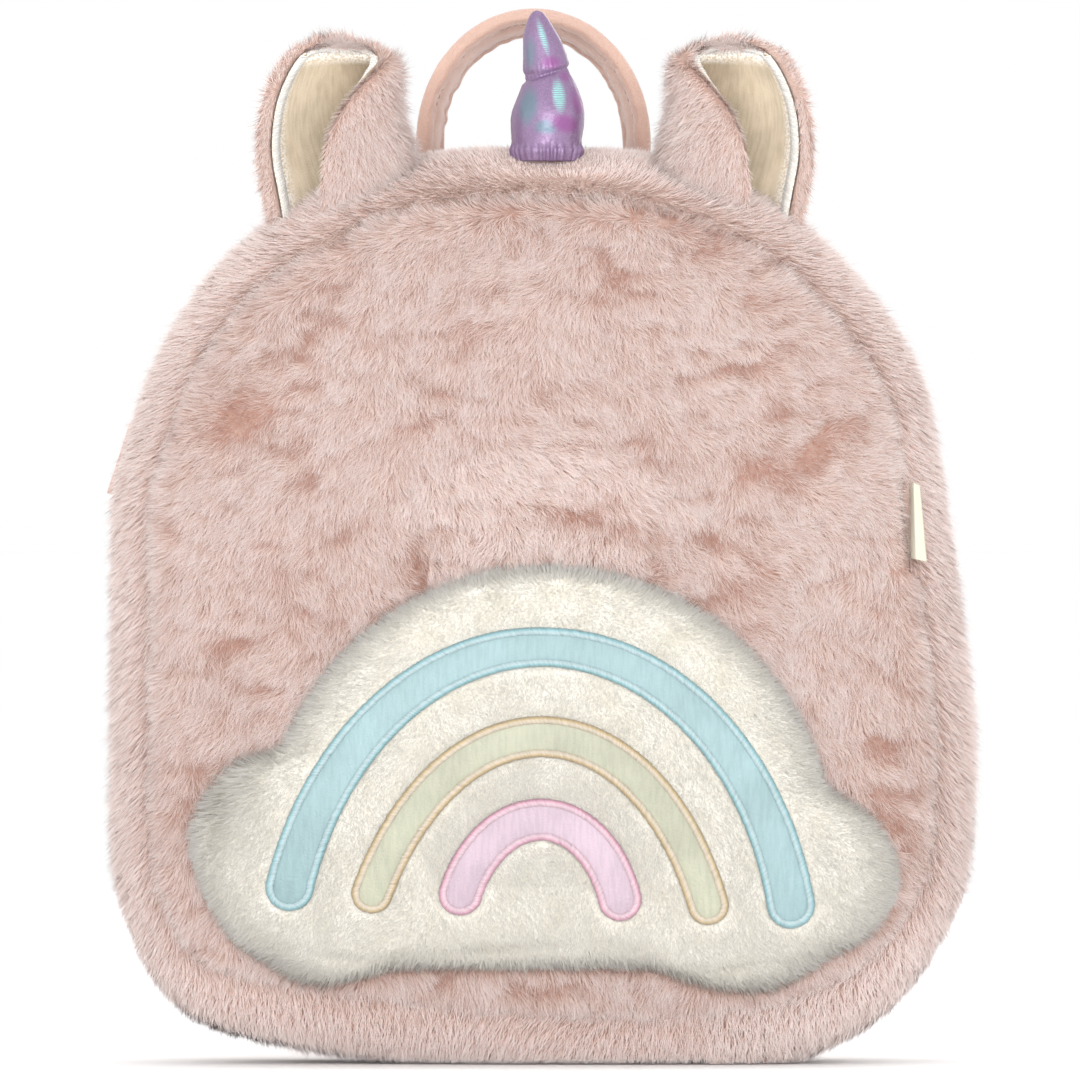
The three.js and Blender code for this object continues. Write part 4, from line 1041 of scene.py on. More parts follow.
class BACKPACK_OT_shells(PieceOperator):
    """Make the bag's three padded walls: front, side band and back"""

    bl_idname = "backpack.shells"
    bl_label = "Bag walls"

    def build(self, s):
        under = s["pile_inset"]
        backing = backing_material("plush backing", (0.36, 0.22, 0.175, 1), (0.5, 0.34, 0.285, 1))
        outer = panel_surface(s, -1, np.linspace(0.02, 1, 40) ** 0.8, under, 200)
        inner = panel_surface(s, -1, np.linspace(1, 0.02, 8), s["wall"] - 0.3, 200)
        front = closed_rings("front_plush", np.concatenate([outer, inner]))
        finish_piece(front, backing, ["front_panel"])

        across = np.concatenate([np.linspace(-1, 1, 57), np.linspace(1, -1, 9)])
        count = 240
        groove = np.zeros((count, len(across)))
        y = across * s["seam_half_depth"]
        at, _ = outline(s, count)
        open_here = 1 / (1 + np.exp(-(at[:, 1] - ZIPPER_FOOT) / 1.2))
        slot = 1 / (1 + np.exp((np.abs(y - ZIPPER_Y) - 7.2) / 0.35))
        groove[:, :57] = under + open_here[:, None] * slot[None, :57] * (4.3 - under)
        groove[:, 57:] = s["wall"] - 0.2
        band = wrapped_rings("band_plush", band_surface(s, across, groove, count))
        finish_piece(band, backing, ["side_band"])

        velour = velour_material("back velour", colour("velour"))
        outer = panel_surface(s, 1, np.linspace(0.02, 1, 50) ** 0.8, 0.0, 240)
        outer[..., 1] += 0.35 * noise(outer, 30, 5) * dome(np.linspace(0.02, 1, 50) ** 0.8)[:, None]
        inner = panel_surface(s, 1, np.linspace(1, 0.02, 8), s["back_wall"] - 0.2, 240)
        back = closed_rings("back_velour", np.concatenate([outer, inner]))
        finish_piece(back, velour, ["back_panel"])


class BACKPACK_OT_long_pile(PieceOperator):
    """Grow the long pile of the front and of the side band"""

    bl_idname = "backpack.long_pile"
    bl_label = "Long pile"

    def build(self, s):
        hair = pile_material(
            "long pile",
            colour("pile_root"),
            colour("pile_body"),
            colour("pile_tip"),
            (0.64, 0.44, 0.37, 1),
            (1.0, 1.0, 1.0, 1),
            sheen=0.4,
        )
        # Painted light: the band's pile is drawn lighter than the front's, at its roots, middles and dark
        # tones alike, so that the band's sides, turned from the light, look as bright as the front.
        band_hair_lightened = pile_material(
            "lightened band pile",
            scaled(colour("pile_root"), 1.15),
            tuple(0.7 * a + 0.33 * b for a, b in zip(colour("pile_body"), colour("pile_tip"))),
            colour("pile_tip"),
            (0.72, 0.58, 0.52, 1),
            (1.0, 1.0, 1.0, 1),
            sheen=0.5,
        )
        rng = np.random.default_rng(11)
        self.front(s, hair, rng)
        self.band(s, band_hair_lightened, rng)

    def front(self, s, hair, rng):
        """The front's pile: stroked down and out, shorter and darker in partings and beside the seam."""
        shares = np.linspace(0.005, 1, 120)
        grid = panel_surface(s, -1, shares, s["pile_inset"], 480)
        grid = np.concatenate([grid, grid[:, :1]], axis=1)
        normals = grid_normals(grid, np.array([0, -1.0, 0]))
        middle = grid[:-1, :-1]
        clear = cloud_share(s, middle[..., 0], middle[..., 2]) > 0.965
        upper = middle[..., 2] > FRONT_SPLIT
        for name, part, count in (("upper", upper, 132000), ("lower", ~upper, 100000)):
            roots, facing = scatter_roots(grid, normals, count, rng, clear * part)
            opened, _ = parting(roots[:, 0], roots[:, 2])
            slow = noise(roots, 28, 8) * 0.5 + noise(roots, 11, 9) * 0.35
            small = noise(roots, 4.5, 10) * 0.5 + noise(roots, 2.2, 11) * 0.5
            bend = noise(roots, 40, 12) * 6
            flecks = noise((roots + [0, 0, 1] * bend[:, None]) * [0.42, 0.42, 1.25], 4.2, 13)
            flecks = np.clip((flecks - 0.22) / 0.5, 0, 1)
            # In the partings the hairs are drawn darker and pinker: partly the roots' own colour and partly
            # painted shade in the gap.
            tone = 0.6 + 0.22 * slow + 0.26 * small - 0.5 * opened - 0.38 * flecks
            length = s["pile_length"] * (1 - 0.5 * opened) * (1 - 0.45 * flecks) * (1 + 0.2 * small)
            rim = panel_share(s, roots[:, 0], roots[:, 2])
            # Beside the seam the pile is shorter and drawn darker; the darker tone is painted shade in the
            # seam's groove.
            seam = np.clip((rim - 0.955) / 0.04, 0, 1)
            tone = tone - 0.2 * seam
            length = length * (1 - 0.3 * seam)
            label = (np.abs(roots[:, 2] - s["label_height"]) < 14) & (roots[:, 0] > 104)
            length = np.where(label, length * 0.4, length)
            comb = front_comb(roots)
            out = unit((roots - [0, 0, s["body_height"] * 0.45]) * [1, 0, 1])
            comb = unit(comb + 1.6 * np.clip((rim - 0.93) / 0.06, 0, 1)[:, None] * out)
            made = pile(
                f"front_pile_{name}", roots, facing, comb, length, s["pile_width"], tone, rng, low=0.2
            )
            finish_piece(made, hair)

    def band(self, s, hair, rng):
        """The side band's pile: the same hairs, stroked down and back, shorter beside the zipper."""
        across = np.linspace(-1, 1, 60)
        grid = band_surface(s, across, s["pile_inset"], 720)
        grid = np.concatenate([grid, grid[:1]], axis=0)
        _, facing2 = outline(s, 720)
        outward = np.zeros((721, 60, 3))
        outward[:-1, :, 0], outward[:-1, :, 2] = facing2[:, :1], facing2[:, 1:]
        outward[-1] = outward[0]
        outward[..., 1] = across * 0.6
        normals = grid_normals(grid, outward)
        middle = grid[:-1, :-1]
        zipped = (np.abs(middle[..., 1] - ZIPPER_Y) < 7.4) & (middle[..., 2] > ZIPPER_FOOT)
        flat = (middle[..., 2] < 2.2) & (normals[:-1, :-1, 2] < -0.8)
        horn = np.hypot(middle[..., 0] - HORN_X, middle[..., 1] - TRIM_Y) < 9.5
        label = (middle[..., 0] > 90) & (middle[..., 1] < -38)
        label = label & (np.abs(middle[..., 2] - s["label_height"]) < 11)
        clear = ~(zipped | flat | (horn & (middle[..., 2] > 200)) | label)
        ahead_half = middle[..., 1] < BAND_SPLIT
        for name, part, count in (("front", ahead_half, 106000), ("back", ~ahead_half, 54000)):
            front = name == "front"
            roots, facing = scatter_roots(grid, normals, count, rng, clear * part)
            x, z = roots[:, 0], roots[:, 2]
            swirl = noise(roots, 34, 5) * 0.7
            back = 0.35 + 0.5 * facing[:, 2] + 0.4 * swirl
            comb = np.stack([0.25 * facing[:, 0] + 0.5 * swirl, back, -1 + 0 * z], axis=-1)
            ahead = np.exp(-(((roots[:, 1] + s["seam_half_depth"]) / 4) ** 2))
            comb[:, 1] -= 1.6 * ahead
            slow = noise(roots, 26, 8) * 0.5 + noise(roots, 10, 9) * 0.35 + noise(roots, 3, 10) * 0.6
            length = np.full(count, s["pile_length"] * 0.85)
            near_zip = (np.abs(roots[:, 1] - ZIPPER_Y) < 17) & (z > 150)
            length = np.where(near_zip, length * 0.6, length)
            near_horn = np.hypot(x - HORN_X, roots[:, 1] - TRIM_Y) / 13 - 0.6
            length = np.where(z > 240, length * np.clip(near_horn, 0.5, 1), length)
            # Along the top between the ears the pile is shorter and drawn lighter: the shorter hair is the
            # pile's own, and the lighter tone is a painted highlight where the top faces the light.
            brushed = np.clip((z - 262) / 8, 0, 1) * np.clip((62 - np.abs(x)) / 14, 0, 1)
            length = length * (1 - 0.45 * brushed)
            # Beside the front seam the pile is shorter and drawn darker; the darker tone is painted shade in
            # the seam's groove.
            seam = np.exp(-(((roots[:, 1] + s["seam_half_depth"]) / 3) ** 2))
            length = length * (1 - 0.3 * seam)
            tone = 0.66 + 0.18 * slow - 0.12 * seam + 0.12 * brushed
            width = s["pile_width"] * (1 if front else 1.25)
            toward = (0, -0.7, 0.1) if front else (0, 0, 0)
            made = pile(
                f"band_pile_{name}",
                roots,
                facing,
                comb,
                length,
                width,
                tone,
                rng,
                lift=(48, 24),
                low=0.2,
                toward=toward,
            )
            finish_piece(made, hair)


class BACKPACK_OT_cloud(PieceOperator):
    """Make the padded cloud with its short cream pile"""

    bl_idname = "backpack.cloud"
    bl_label = "Cloud"

    def surface(self, s, shares, depth, count=240):
        angle = np.linspace(0, 2 * np.pi, count, endpoint=False)
        reach = cloud_reach(s, angle) - depth
        shares = np.asarray(shares)[:, None]
        x = shares * (reach * np.cos(angle))[None]
        z = s["cloud_height"] + shares * (reach * np.sin(angle))[None]
        puff = np.sqrt(np.maximum(0, 1 - shares**8))
        crease = sum(1.6 * row[5] * bell(x, z, row) for row in CLOUD_CREASES)
        y = front_y(s, x, z) - s["gap"] - (s["cloud_thickness"] - depth) * puff + crease * (puff > 0.5)
        return np.stack([x, y, z], axis=-1)

    def build(self, s):
        backing = backing_material("cloud backing", (0.74, 0.7, 0.6, 1), (0.86, 0.83, 0.76, 1))
        depth = 1.2
        outer = self.surface(s, np.sin(np.linspace(0.02, 1, 48) * np.pi / 2), depth)
        rim = outer[-1:].copy()
        up = s["cloud_height"]
        back = [rim[0] * [share, 1, share] + [0, 0, up * (1 - share)] for share in (0.97, 0.7, 0.3)]
        back = np.stack(back)
        back[..., 1] = front_y(s, back[..., 0], back[..., 2]) + s["pile_inset"] - 0.4
        rim[..., 1] = front_y(s, rim[..., 0], rim[..., 2]) + s["pile_inset"] - 0.4
        cloud = closed_rings("cloud_pad", np.concatenate([outer, rim, back]))
        finish_piece(cloud, backing, ["cloud_patch"])

        rng = np.random.default_rng(23)
        grid = self.surface(s, np.sin(np.linspace(0.01, 1, 160) * np.pi / 2), depth, 720)
        grid = np.concatenate([grid, grid[:, :1]], axis=1)
        angle = np.linspace(0, 2 * np.pi, 721)
        outward = np.stack([np.cos(angle), -0.7 + 0 * angle, np.sin(angle)], axis=-1)[None]
        normals = grid_normals(grid, outward)
        middle = grid[:-1, :-1]
        clear = np.ones(middle.shape[:2])
        for row in STRIPES.values():
            clear = clear * (stripe_distance(s, row, middle[..., 0], middle[..., 2]) > -0.4)
        roots, facing = scatter_roots(grid, normals, 92000, rng, clear)
        x, z = roots[:, 0], roots[:, 2] - s["cloud_height"]
        swirl = noise(roots, 24, 15) * 1.1 + noise(roots, 9, 16) * 0.5
        base = -np.pi / 2 + 0.7 * np.sin(x / 90) + swirl
        comb = np.stack([np.cos(base), 0 * base, np.sin(base)], axis=-1)
        edge = np.clip((cloud_share(s, x, roots[:, 2]) - 0.88) / 0.1, 0, 1)
        out = unit(np.stack([x, 0 * x, z], axis=-1))
        comb = unit(comb * (1 - 0.75 * edge[:, None]) + out * 0.8 * edge[:, None])
        lobe = np.clip((-x - 78) / 10, 0, 1) * np.clip((roots[:, 2] - 60) / 20, 0, 1)
        length = s["cloud_pile"] * (0.85 + 0.5 * edge + 0.7 * lobe)
        near = np.full(len(roots), 1e9)
        for row in STRIPES.values():
            near = np.minimum(near, np.abs(stripe_distance(s, row, roots[:, 0], roots[:, 2])))
        length = length * np.clip(0.45 + near / 5, 0.45, 1)
        # The creases also darken the pile's tone: painted shade in the creases.
        crease = sum(row[5] * bell(x, roots[:, 2], row) for row in CLOUD_CREASES)
        slow = noise(roots, 14, 17) * 0.5 + noise(roots, 6, 18) * 0.4 + noise(roots, 2, 19) * 0.4
        tone = 0.66 + 0.22 * (slow - 0.8 * crease)
        hair = pile_material(
            "short cream pile",
            colour("cream_root"),
            tuple(0.5 * (a + b) for a, b in zip(colour("cream_root"), colour("cream_tip"))),
            colour("cream_tip"),
            (0.86, 0.8, 0.71, 1),
            (1.0, 1.0, 1.0, 1),
        )
        made = pile(
            "cloud_pile",
            roots,
            facing,
            comb,
            length,
            0.22,
            tone,
            rng,
            lift=(58, 40),
            clump=1.5,
            draw=0.12,
        )
        finish_piece(made, hair)


def stripe_line(s, row, turn):
    """A stripe's middle line at turn from -1 to 1, tilted with the rainbow: an ellipse's points, tangents,
    normals and half widths."""
    centre_share, half_width, height, sweep, crown, foot = row
    size = s["cloud_half_width"]
    phi = np.radians(sweep) * turn
    at = np.stack([half_width * np.sin(phi), height * np.cos(phi) + centre_share], axis=-1) * size
    tangent = unit(np.stack([half_width * np.cos(phi), -height * np.sin(phi)], axis=-1))
    half = (crown + (foot - crown) * np.abs(turn)) * size / 2
    tilt = math.radians(-2)
    spin = np.array([[math.cos(tilt), math.sin(tilt)], [-math.sin(tilt), math.cos(tilt)]])
    at, tangent = at @ spin, tangent @ spin
    normal = np.stack([-tangent[..., 1], tangent[..., 0]], axis=-1)
    return at + [0, s["cloud_height"]], tangent, normal, half


def stripe_distance(s, row, x, z):
    """Signed distance outside a stripe: to the nearest of fine points on its middle line, less its half
    width."""
    at, _, _, half = stripe_line(s, row, np.linspace(-1, 1, 90))
    shape = x.shape
    flat = np.stack([x.ravel(), z.ravel()], axis=-1)
    best = np.full(len(flat), 1e9)
    for point, width in zip(at, half):
        best = np.minimum(best, np.hypot(*(flat - point).T) - width)
    return best.reshape(shape)


def stripe_edge(s, row, count):
    """The stripe's outline as a closed line: along the outer side, round one foot, back along the inner
    side and round the other foot. Returns points and the outward normal at each."""
    turn = np.linspace(-1, 1, 240)
    at, tangent, normal, half = stripe_line(s, row, turn)
    arc = np.linspace(0, np.pi, 40)[1:-1, None]
    outer = at + normal * half[:, None]
    inner = (at - normal * half[:, None])[::-1]
    foot_right = at[-1] + half[-1] * (normal[-1] * np.cos(arc) + tangent[-1] * np.sin(arc))
    foot_left = at[0] + half[0] * (-normal[0] * np.cos(arc) - tangent[0] * np.sin(arc))
    line = even(np.concatenate([outer, foot_right, inner, foot_left]), count)
    along = unit(np.roll(line, -1, axis=0) - np.roll(line, 1, axis=0))
    return line, np.stack([-along[:, 1], along[:, 0]], axis=-1)


def ridge_mesh(name, points, steps, rng, flip):
    """Ridges of thread as one mesh, each a strip of three lines of points. uv holds a ridge's random tone
    and the place across the border."""
    rows, lines = points.shape[1:3]
    quads = grid_faces(rows, lines, wrap_columns=False)[None]
    quads = quads + np.arange(len(points))[:, None, None] * rows * lines
    tone = rng.random(len(points))[:, None, None]
    uv = np.stack(np.broadcast_arrays(tone, steps[None, :, None] + np.zeros((1, 1, lines))), axis=-1)
    return make_mesh(name, points.reshape(-1, 3), quads.reshape(-1, 4), None, uv.reshape(-1, 2), flip=flip)


class BACKPACK_OT_rainbow(PieceOperator):
    """Make the three satin stripes with their satin-stitched borders"""

    bl_idname = "backpack.rainbow"
    bl_label = "Rainbow"

    def fill(self, s, name, row):
        """The satin: rings of the stripe's outline drawn in towards its middle line, and domed a little."""
        turn = np.linspace(-1, 1, 161)
        at, tangent, normal, half = stripe_line(s, row, turn)
        ends = np.array([0.5, 0.84, 0.97])
        low = at[0] - tangent[0] * half[0] * ends[::-1, None]
        high = at[-1] + tangent[-1] * half[-1] * ends[:, None]
        shrink = np.sqrt(1 - ends * ends)
        mids = np.concatenate([low, at, high])
        ways = np.concatenate([normal[:1].repeat(3, 0), normal, normal[-1:].repeat(3, 0)])
        wides = np.concatenate([half[0] * shrink[::-1], half, half[-1] * shrink]) - 0.5
        over = np.linspace(-1, 1, 13)
        w = np.concatenate([over, [0.99, 0.0, -0.99]])
        out = np.concatenate([1 + 0.28 * (1 - over**2), [0.0, 0.0, 0.0]]) * s["stripe_thickness"]
        out[:1], out[12:13] = 0.5, 0.5
        flat = mids[:, None] + ways[:, None] * (w[None, :, None] * wides[:, None, None])
        lift = 0.12 * noise(np.stack([flat[..., 0], 0 * flat[..., 0], flat[..., 1]], axis=-1), 7, 31)
        y = cloud_front_y(s, flat[..., 0], flat[..., 1]) - s["gap"] - out - lift * (out > 1)
        made = closed_rings(f"{name}_satin", np.stack([flat[..., 0], y, flat[..., 1]], axis=-1))
        finish_piece(made, satin_material(f"{name} satin", colour(name)), [f"rainbow_{name}"])
        flat, area = STRIPE_CUTS[name]

    def border(self, s, name, row):
        """The satin stitch: a row of thread ridges across the border, each an arch of five points with a
        raised middle, side by side round the stripe's outline and a little slanted."""
        rough, _ = stripe_edge(s, row, 400)
        length = np.linalg.norm(np.roll(rough, -1, axis=0) - rough, axis=1).sum()
        count = int(length / 0.42)
        line, out = stripe_edge(s, row, count)
        along = np.stack([out[:, 1], -out[:, 0]], axis=-1)
        rng = np.random.default_rng(len(name))
        steps = np.linspace(0, 1, 6)
        width = s["rim_width"]
        arch = np.sqrt(np.maximum(0, 1 - (2 * steps - 1) ** 2))
        slant = 1.3
        ragged = rng.normal(0, 0.06, (count, 2))
        points = []
        for offset, rise in ((-0.24, -0.12), (0.0, 0.06), (0.24, -0.12)):
            reach = 0.15 + ragged[:, :1] - (width + ragged[:, 1:]) * steps[None]
            flat = line[:, None] + out[:, None] * reach[..., None]
            flat = flat + along[:, None] * (offset + slant * (steps - 0.5))[None, :, None]
            height = s["gap"] + 0.15 + (s["stripe_thickness"] + s["rim_height"] - 0.15) * arch + rise
            y = cloud_front_y(s, flat[..., 0], flat[..., 1]) - height
            points.append(np.stack([flat[..., 0], y, flat[..., 1]], axis=-1))
        made = ridge_mesh(f"{name}_border", np.stack(points, axis=2), steps, rng, True)
        finish_piece(made, thread_material(f"{name} thread", colour(f"{name}_thread")))

    def build(self, s):
        for name, row in STRIPES.items():
            self.fill(s, name, row)
            self.border(s, name, row)


def thread_ridges(name, at, inward, width, height, half, front, slant=0.5):
    """Satin stitch: one ridge of thread a place, each an arch of six points from the edge inwards, with a
    raised middle line, leaning a little along the edge. at and inward are points and directions."""
    count = len(at)
    rng = np.random.default_rng(count)
    along = unit(np.gradient(at, axis=0))
    out = np.cross(along, inward)
    out = unit(out * np.sign((out * front).sum(-1, keepdims=True)))
    steps = np.linspace(0, 1, 6)
    arch = np.sqrt(np.maximum(0, 1 - (2 * steps - 1) ** 2))
    ragged = rng.normal(0, 0.06, (count, 2))
    points = []
    for offset, rise in ((-half, -0.12), (0.0, 0.06), (half, -0.12)):
        reach = ragged[:, :1] + (width + ragged[:, 1:]) * steps[None]
        lean = (offset + slant * (steps - 0.5))[None, :, None]
        points.append(
            at[:, None] + inward[:, None] * reach[..., None] + along[:, None] * lean
            + out[:, None] * (height * arch + rise)[None, :, None]
        )
    points = np.stack(points, axis=2)
    first = points[0].reshape(-1, 3)
    face = np.cross(first[1] - first[0], first[3] - first[0])
    return ridge_mesh(name, points, steps, rng, float(face @ out[0]) < 0)


def ear_surface(s, shares, turns, depth, lift=0.0, side=-1):
    """An ear's face: each section is half an ellipse from its outer edge round the back to its inner edge,
    carried on over the front by the fold. turns is the share of the way round."""
    rows = spline(EAR_ROWS, 400)
    rows = np.stack([np.interp(shares, np.linspace(0, 1, 400), rows[:, i]) for i in range(6)], axis=1)
    outer, inner = rows[:, 0:2] * s["ear_height"], rows[:, 2:4] * s["ear_height"]
    chord = inner - outer
    half = np.linalg.norm(chord, axis=1) / 2
    wide = np.maximum(half - depth, 0.12 * half)
    cup = rows[:, 4] * s["ear_cup"]
    deep = np.maximum(cup - depth, 0.12 * cup)
    angle = np.radians(180 + (180 + rows[:, 5])[:, None] * np.asarray(turns)[None])
    middle = (outer + inner) / 2
    flat = middle[:, None] + unit(chord)[:, None] * (wide[:, None] * np.cos(angle))[..., None]
    x = -s["ear_spread"] + flat[..., 0]
    y = TRIM_Y - deep[:, None] * np.sin(angle) - lift
    z = s["body_height"] - 25 + flat[..., 1]
    return np.stack([(x if side < 0 else -x) - 2, y, z], axis=-1)


class BACKPACK_OT_ears(PieceOperator):
    """Make the two folded plush ears, their pile and their velvet linings"""

    bl_idname = "backpack.ears"
    bl_label = "Ears"

    def build(self, s):
        backing = backing_material("ear backing", (0.4, 0.26, 0.215, 1), (0.54, 0.39, 0.33, 1))
        hair = pile_material(
            "ear pile",
            colour("pile_root"),
            colour("pile_body"),
            colour("pile_tip"),
            (0.66, 0.52, 0.47, 1),
            (1.0, 1.0, 1.0, 1),
        )
        velvet = lining_material()
        # Painted highlight: the lining's whitish edge, which is the velvet's sheen, given as ridges of pale
        # thread.
        lining_edge_sheen = thread_material("silver thread", colour("lining_edge_sheen"), 0.25, 0.86)
        shares, turns = np.linspace(0, 1, 50), np.linspace(0, 1, 44)
        for side, name in ((-1, "left"), (1, "right")):
            outer = ear_surface(s, shares, turns, 1.6, side=side)
            inner = ear_surface(s, shares, turns[::-1], s["ear_wall"] - 0.1, side=side)
            fold = (outer[:, -1:] + inner[:, :1]) / 2
            hem = (outer[:, :1] + inner[:, -1:]) / 2
            ear = closed_rings(f"ear_{name}_plush", np.concatenate([outer, fold, inner, hem], axis=1))
            finish_piece(ear, backing, [f"ear_{name}"])
            self.grow(s, side, name, hair)

            seat = s["ear_wall"] + 2 * s["gap"]
            high = np.linspace(0, 1, 44)
            outer = self.arched(s, side, high, turns, seat)
            inner = self.arched(s, side, high, turns[::-1], seat + 1.0)
            u = np.concatenate([turns, turns[::-1]])
            uv = np.stack(np.broadcast_arrays(u[None], high[:, None]), axis=-1)
            lining = closed_rings(f"ear_{name}_lining", np.concatenate([outer, inner], axis=1), uv)
            finish_piece(lining, velvet, [f"ear_lining_{name}"])
            self.border(s, side, name, lining_edge_sheen)

    def grow(self, s, side, name, hair):
        """An ear's pile: over its back and its folded flap, round both hems and a tuft inside its tip,
        shorter beside the lining."""
        rng = np.random.default_rng(31 + side)
        high = np.linspace(0.03, 1, 90)
        hems = [ear_surface(s, high, [0, 1], depth, side=side) for depth in (4.8, 4.1, 3.2, 2.2)]
        outer = ear_surface(s, high, np.linspace(0, 1, 110), 1.6, side=side)
        first = np.stack([hem[:, 0] for hem in hems], axis=1)
        last = np.stack([hem[:, 1] for hem in hems[::-1]], axis=1)
        fine = np.concatenate([first, outer, last], axis=1)
        core = ear_surface(s, high, np.linspace(0, 1, 110), 3.6, side=side)
        core = np.concatenate([core[:, :1]] * 4 + [core] + [core[:, -1:]] * 4, axis=1) + [0, 1.2, 0]
        normals = grid_normals(fine, unit(fine - core))
        roots, facing = scatter_roots(fine, normals, 32000, rng)
        swirl = noise(roots, 16, 41) * 0.5
        front = np.clip((-roots[:, 1] - 16) / 8, 0, 1)
        comb = [-side * (front - 0.6) + swirl, 0.5 - 0.4 * front, -0.8 + 0 * swirl]
        comb = np.stack(comb, axis=-1)
        comb[:, 2] += 1.6 * (1 - front) * np.clip((roots[:, 2] - 280) / 20, 0, 1)
        slow = noise(roots, 14, 8) * 0.5 + noise(roots, 6, 9) * 0.35 + noise(roots, 3, 10) * 0.5
        inside = ear_surface(s, np.linspace(0.85, 1, 12), np.linspace(0, 1, 30), 5.1, side=side)
        more, ahead = scatter_roots(inside, grid_normals(inside, np.array([0, -1.0, 0])), 3000, rng)
        roots, facing = np.concatenate([roots, more]), np.concatenate([facing, ahead])
        comb = np.concatenate([comb, np.array([0.0, -0.3, 1.0]) + 0 * more])
        slow = np.concatenate([slow, 0.3 + 0 * more[:, 0]])
        cup = ear_surface(s, np.linspace(0, 0.84, 40), np.linspace(0, 1, 40), 6.0, side=side)
        near = np.min(np.linalg.norm(roots[:, None] - cup[:, [0, -1]].reshape(1, -1, 3), axis=-1), axis=1)
        length = s["ear_pile"] * np.clip(0.25 + near / 13, 0.42, 1)
        tone = 0.66 + 0.2 * slow
        made = pile(f"ear_{name}_pile", roots, facing, comb, length, 0.26, tone, rng, lift=(44, 18))
        finish_piece(made, hair)

    def top(self, turn):
        """The lining's upper edge as a share of the ear: lower at both ends than in the middle."""
        return 0.94 - 0.1 * np.abs(2 * turn - 1) ** 2.5

    def arched(self, s, side, high, turns, depth):
        """The ear's face from the foot to the lining's upper edge, read from a fine grid by linear blends."""
        fine = ear_surface(s, np.linspace(0, 1, 201), turns, depth, side=side)
        want = high[:, None] * self.top(turns)[None] * 200
        k = np.minimum(want.astype(int), 199)
        f = (want - k)[..., None]
        column = np.arange(len(turns))[None]
        return fine[k, column] * (1 - f) + fine[k + 1, column] * f

    def border(self, s, side, name, lining_edge_sheen):
        """The lining's whitish edge, a painted highlight of the velvet's sheen, as ridges of thread laid side
        by side from the foot up the outer edge, over the top and a little down the inner edge, on the
        lining's face."""
        over = np.linspace(0.03, 0.97, 50)
        up = np.linspace(0.06, self.top(0.03) - 0.02, 60)
        down = np.linspace(self.top(0.97) - 0.02, 0.5, 24)
        high = np.concatenate([up, self.top(over) - 0.02, down])
        turn = np.concatenate([0.03 + 0 * up, over, 0.97 + 0 * down])
        inward_high = np.concatenate([0 * up, -0.06 + 0 * over, 0 * down])
        inward_turn = np.concatenate([0.05 + 0 * up, 0 * over, -0.05 + 0 * down])
        face = s["ear_wall"] + 2 * s["gap"] + 1.1

        def on_face(share, around):
            wide = ear_surface(s, np.clip(share, 0, 1), np.linspace(0, 1, 101), face, side=side)
            place_at = np.clip(around, 0, 1) * 100
            k = np.minimum(place_at.astype(int), 99)
            rows = np.arange(len(k))
            f = (place_at - k)[:, None]
            return wide[rows, k] * (1 - f) + wide[rows, k + 1] * f

        at = on_face(high, turn)
        way = unit(on_face(high + inward_high, turn + inward_turn) - at)
        far = running_length(at)
        want = np.arange(0, far[-1], 0.8)
        at, way = sample(want, far, at), unit(sample(want, far, way))
        front = np.array([0, -1.0, 0])
        made = thread_ridges(f"ear_{name}_edge", at - way * 1.6, way, 4.0, 0.8, 0.33, front, 1.2)
        finish_piece(made, lining_edge_sheen)


class BACKPACK_OT_horn(PieceOperator):
    """Make the stuffed foil horn, tied in at its waist and gathered at its foot"""

    bl_idname = "backpack.horn"
    bl_label = "Horn"

    def build(self, s):
        rows = spline(HORN_ROWS, 100)
        turn = np.linspace(0, 2 * np.pi, 160, endpoint=False)[None]
        rise, radius, lean, pleat = (rows[:, i : i + 1] for i in range(4))
        gathers = np.cos(29 * turn + 0.9 * np.sin(3 * turn)) + 0.6 * np.cos(34 * turn + 1.3)
        shape = radius * (1 + 0.75 * np.maximum(pleat, 0) * gathers)
        tie = (rise - 0.5 - 0.035 * np.cos(turn)) / 0.016
        shape = shape * (1 - 0.1 * np.exp(-(tie**2)))
        flat = np.stack([shape * np.cos(turn), shape * np.sin(turn), rise * 4 + 0 * turn], axis=-1)
        shape = shape * (1 + 0.012 * noise(flat, 0.4, 51) + 0.006 * noise(flat * [1, 1, 4], 0.22, 52))
        reach = s["horn_radius"] * shape
        x = HORN_X + s["horn_radius"] * lean + reach * np.cos(turn)
        y = TRIM_Y + reach * np.sin(turn)
        slant = math.tan(math.radians(6)) * reach * np.cos(turn) * np.sin(np.pi * np.clip(rise, 0, 1))
        z = s["body_height"] + s["horn_height"] * rise + slant
        horn = closed_rings("horn_foil", np.stack([x, y, z], axis=-1))
        finish_piece(horn, foil_material(), ["horn"])


def band_rings(at, wide, thick, section):
    """A section of (width, thickness) pairs carried along a line by its width and thickness directions."""
    section = np.asarray(section)
    return at[:, None] + wide[:, None] * section[None, :, :1] + thick[:, None] * section[None, :, 1:]


def padded_section(width, thickness, seam, count=48):
    """A padded band's section: an ellipse flattened to a rounded bar, pinched by a seam near each edge."""
    turn = np.linspace(0, 2 * np.pi, count, endpoint=False)
    w = width / 2 * np.sign(np.cos(turn)) * np.abs(np.cos(turn)) ** 0.42
    t = thickness / 2 * np.sign(np.sin(turn)) * np.abs(np.sin(turn)) ** 0.5
    pinch = 1 - 0.42 * np.exp(-(((np.abs(w) - (width / 2 - seam)) / 0.8) ** 2))
    return np.stack([w, t * pinch], axis=1)


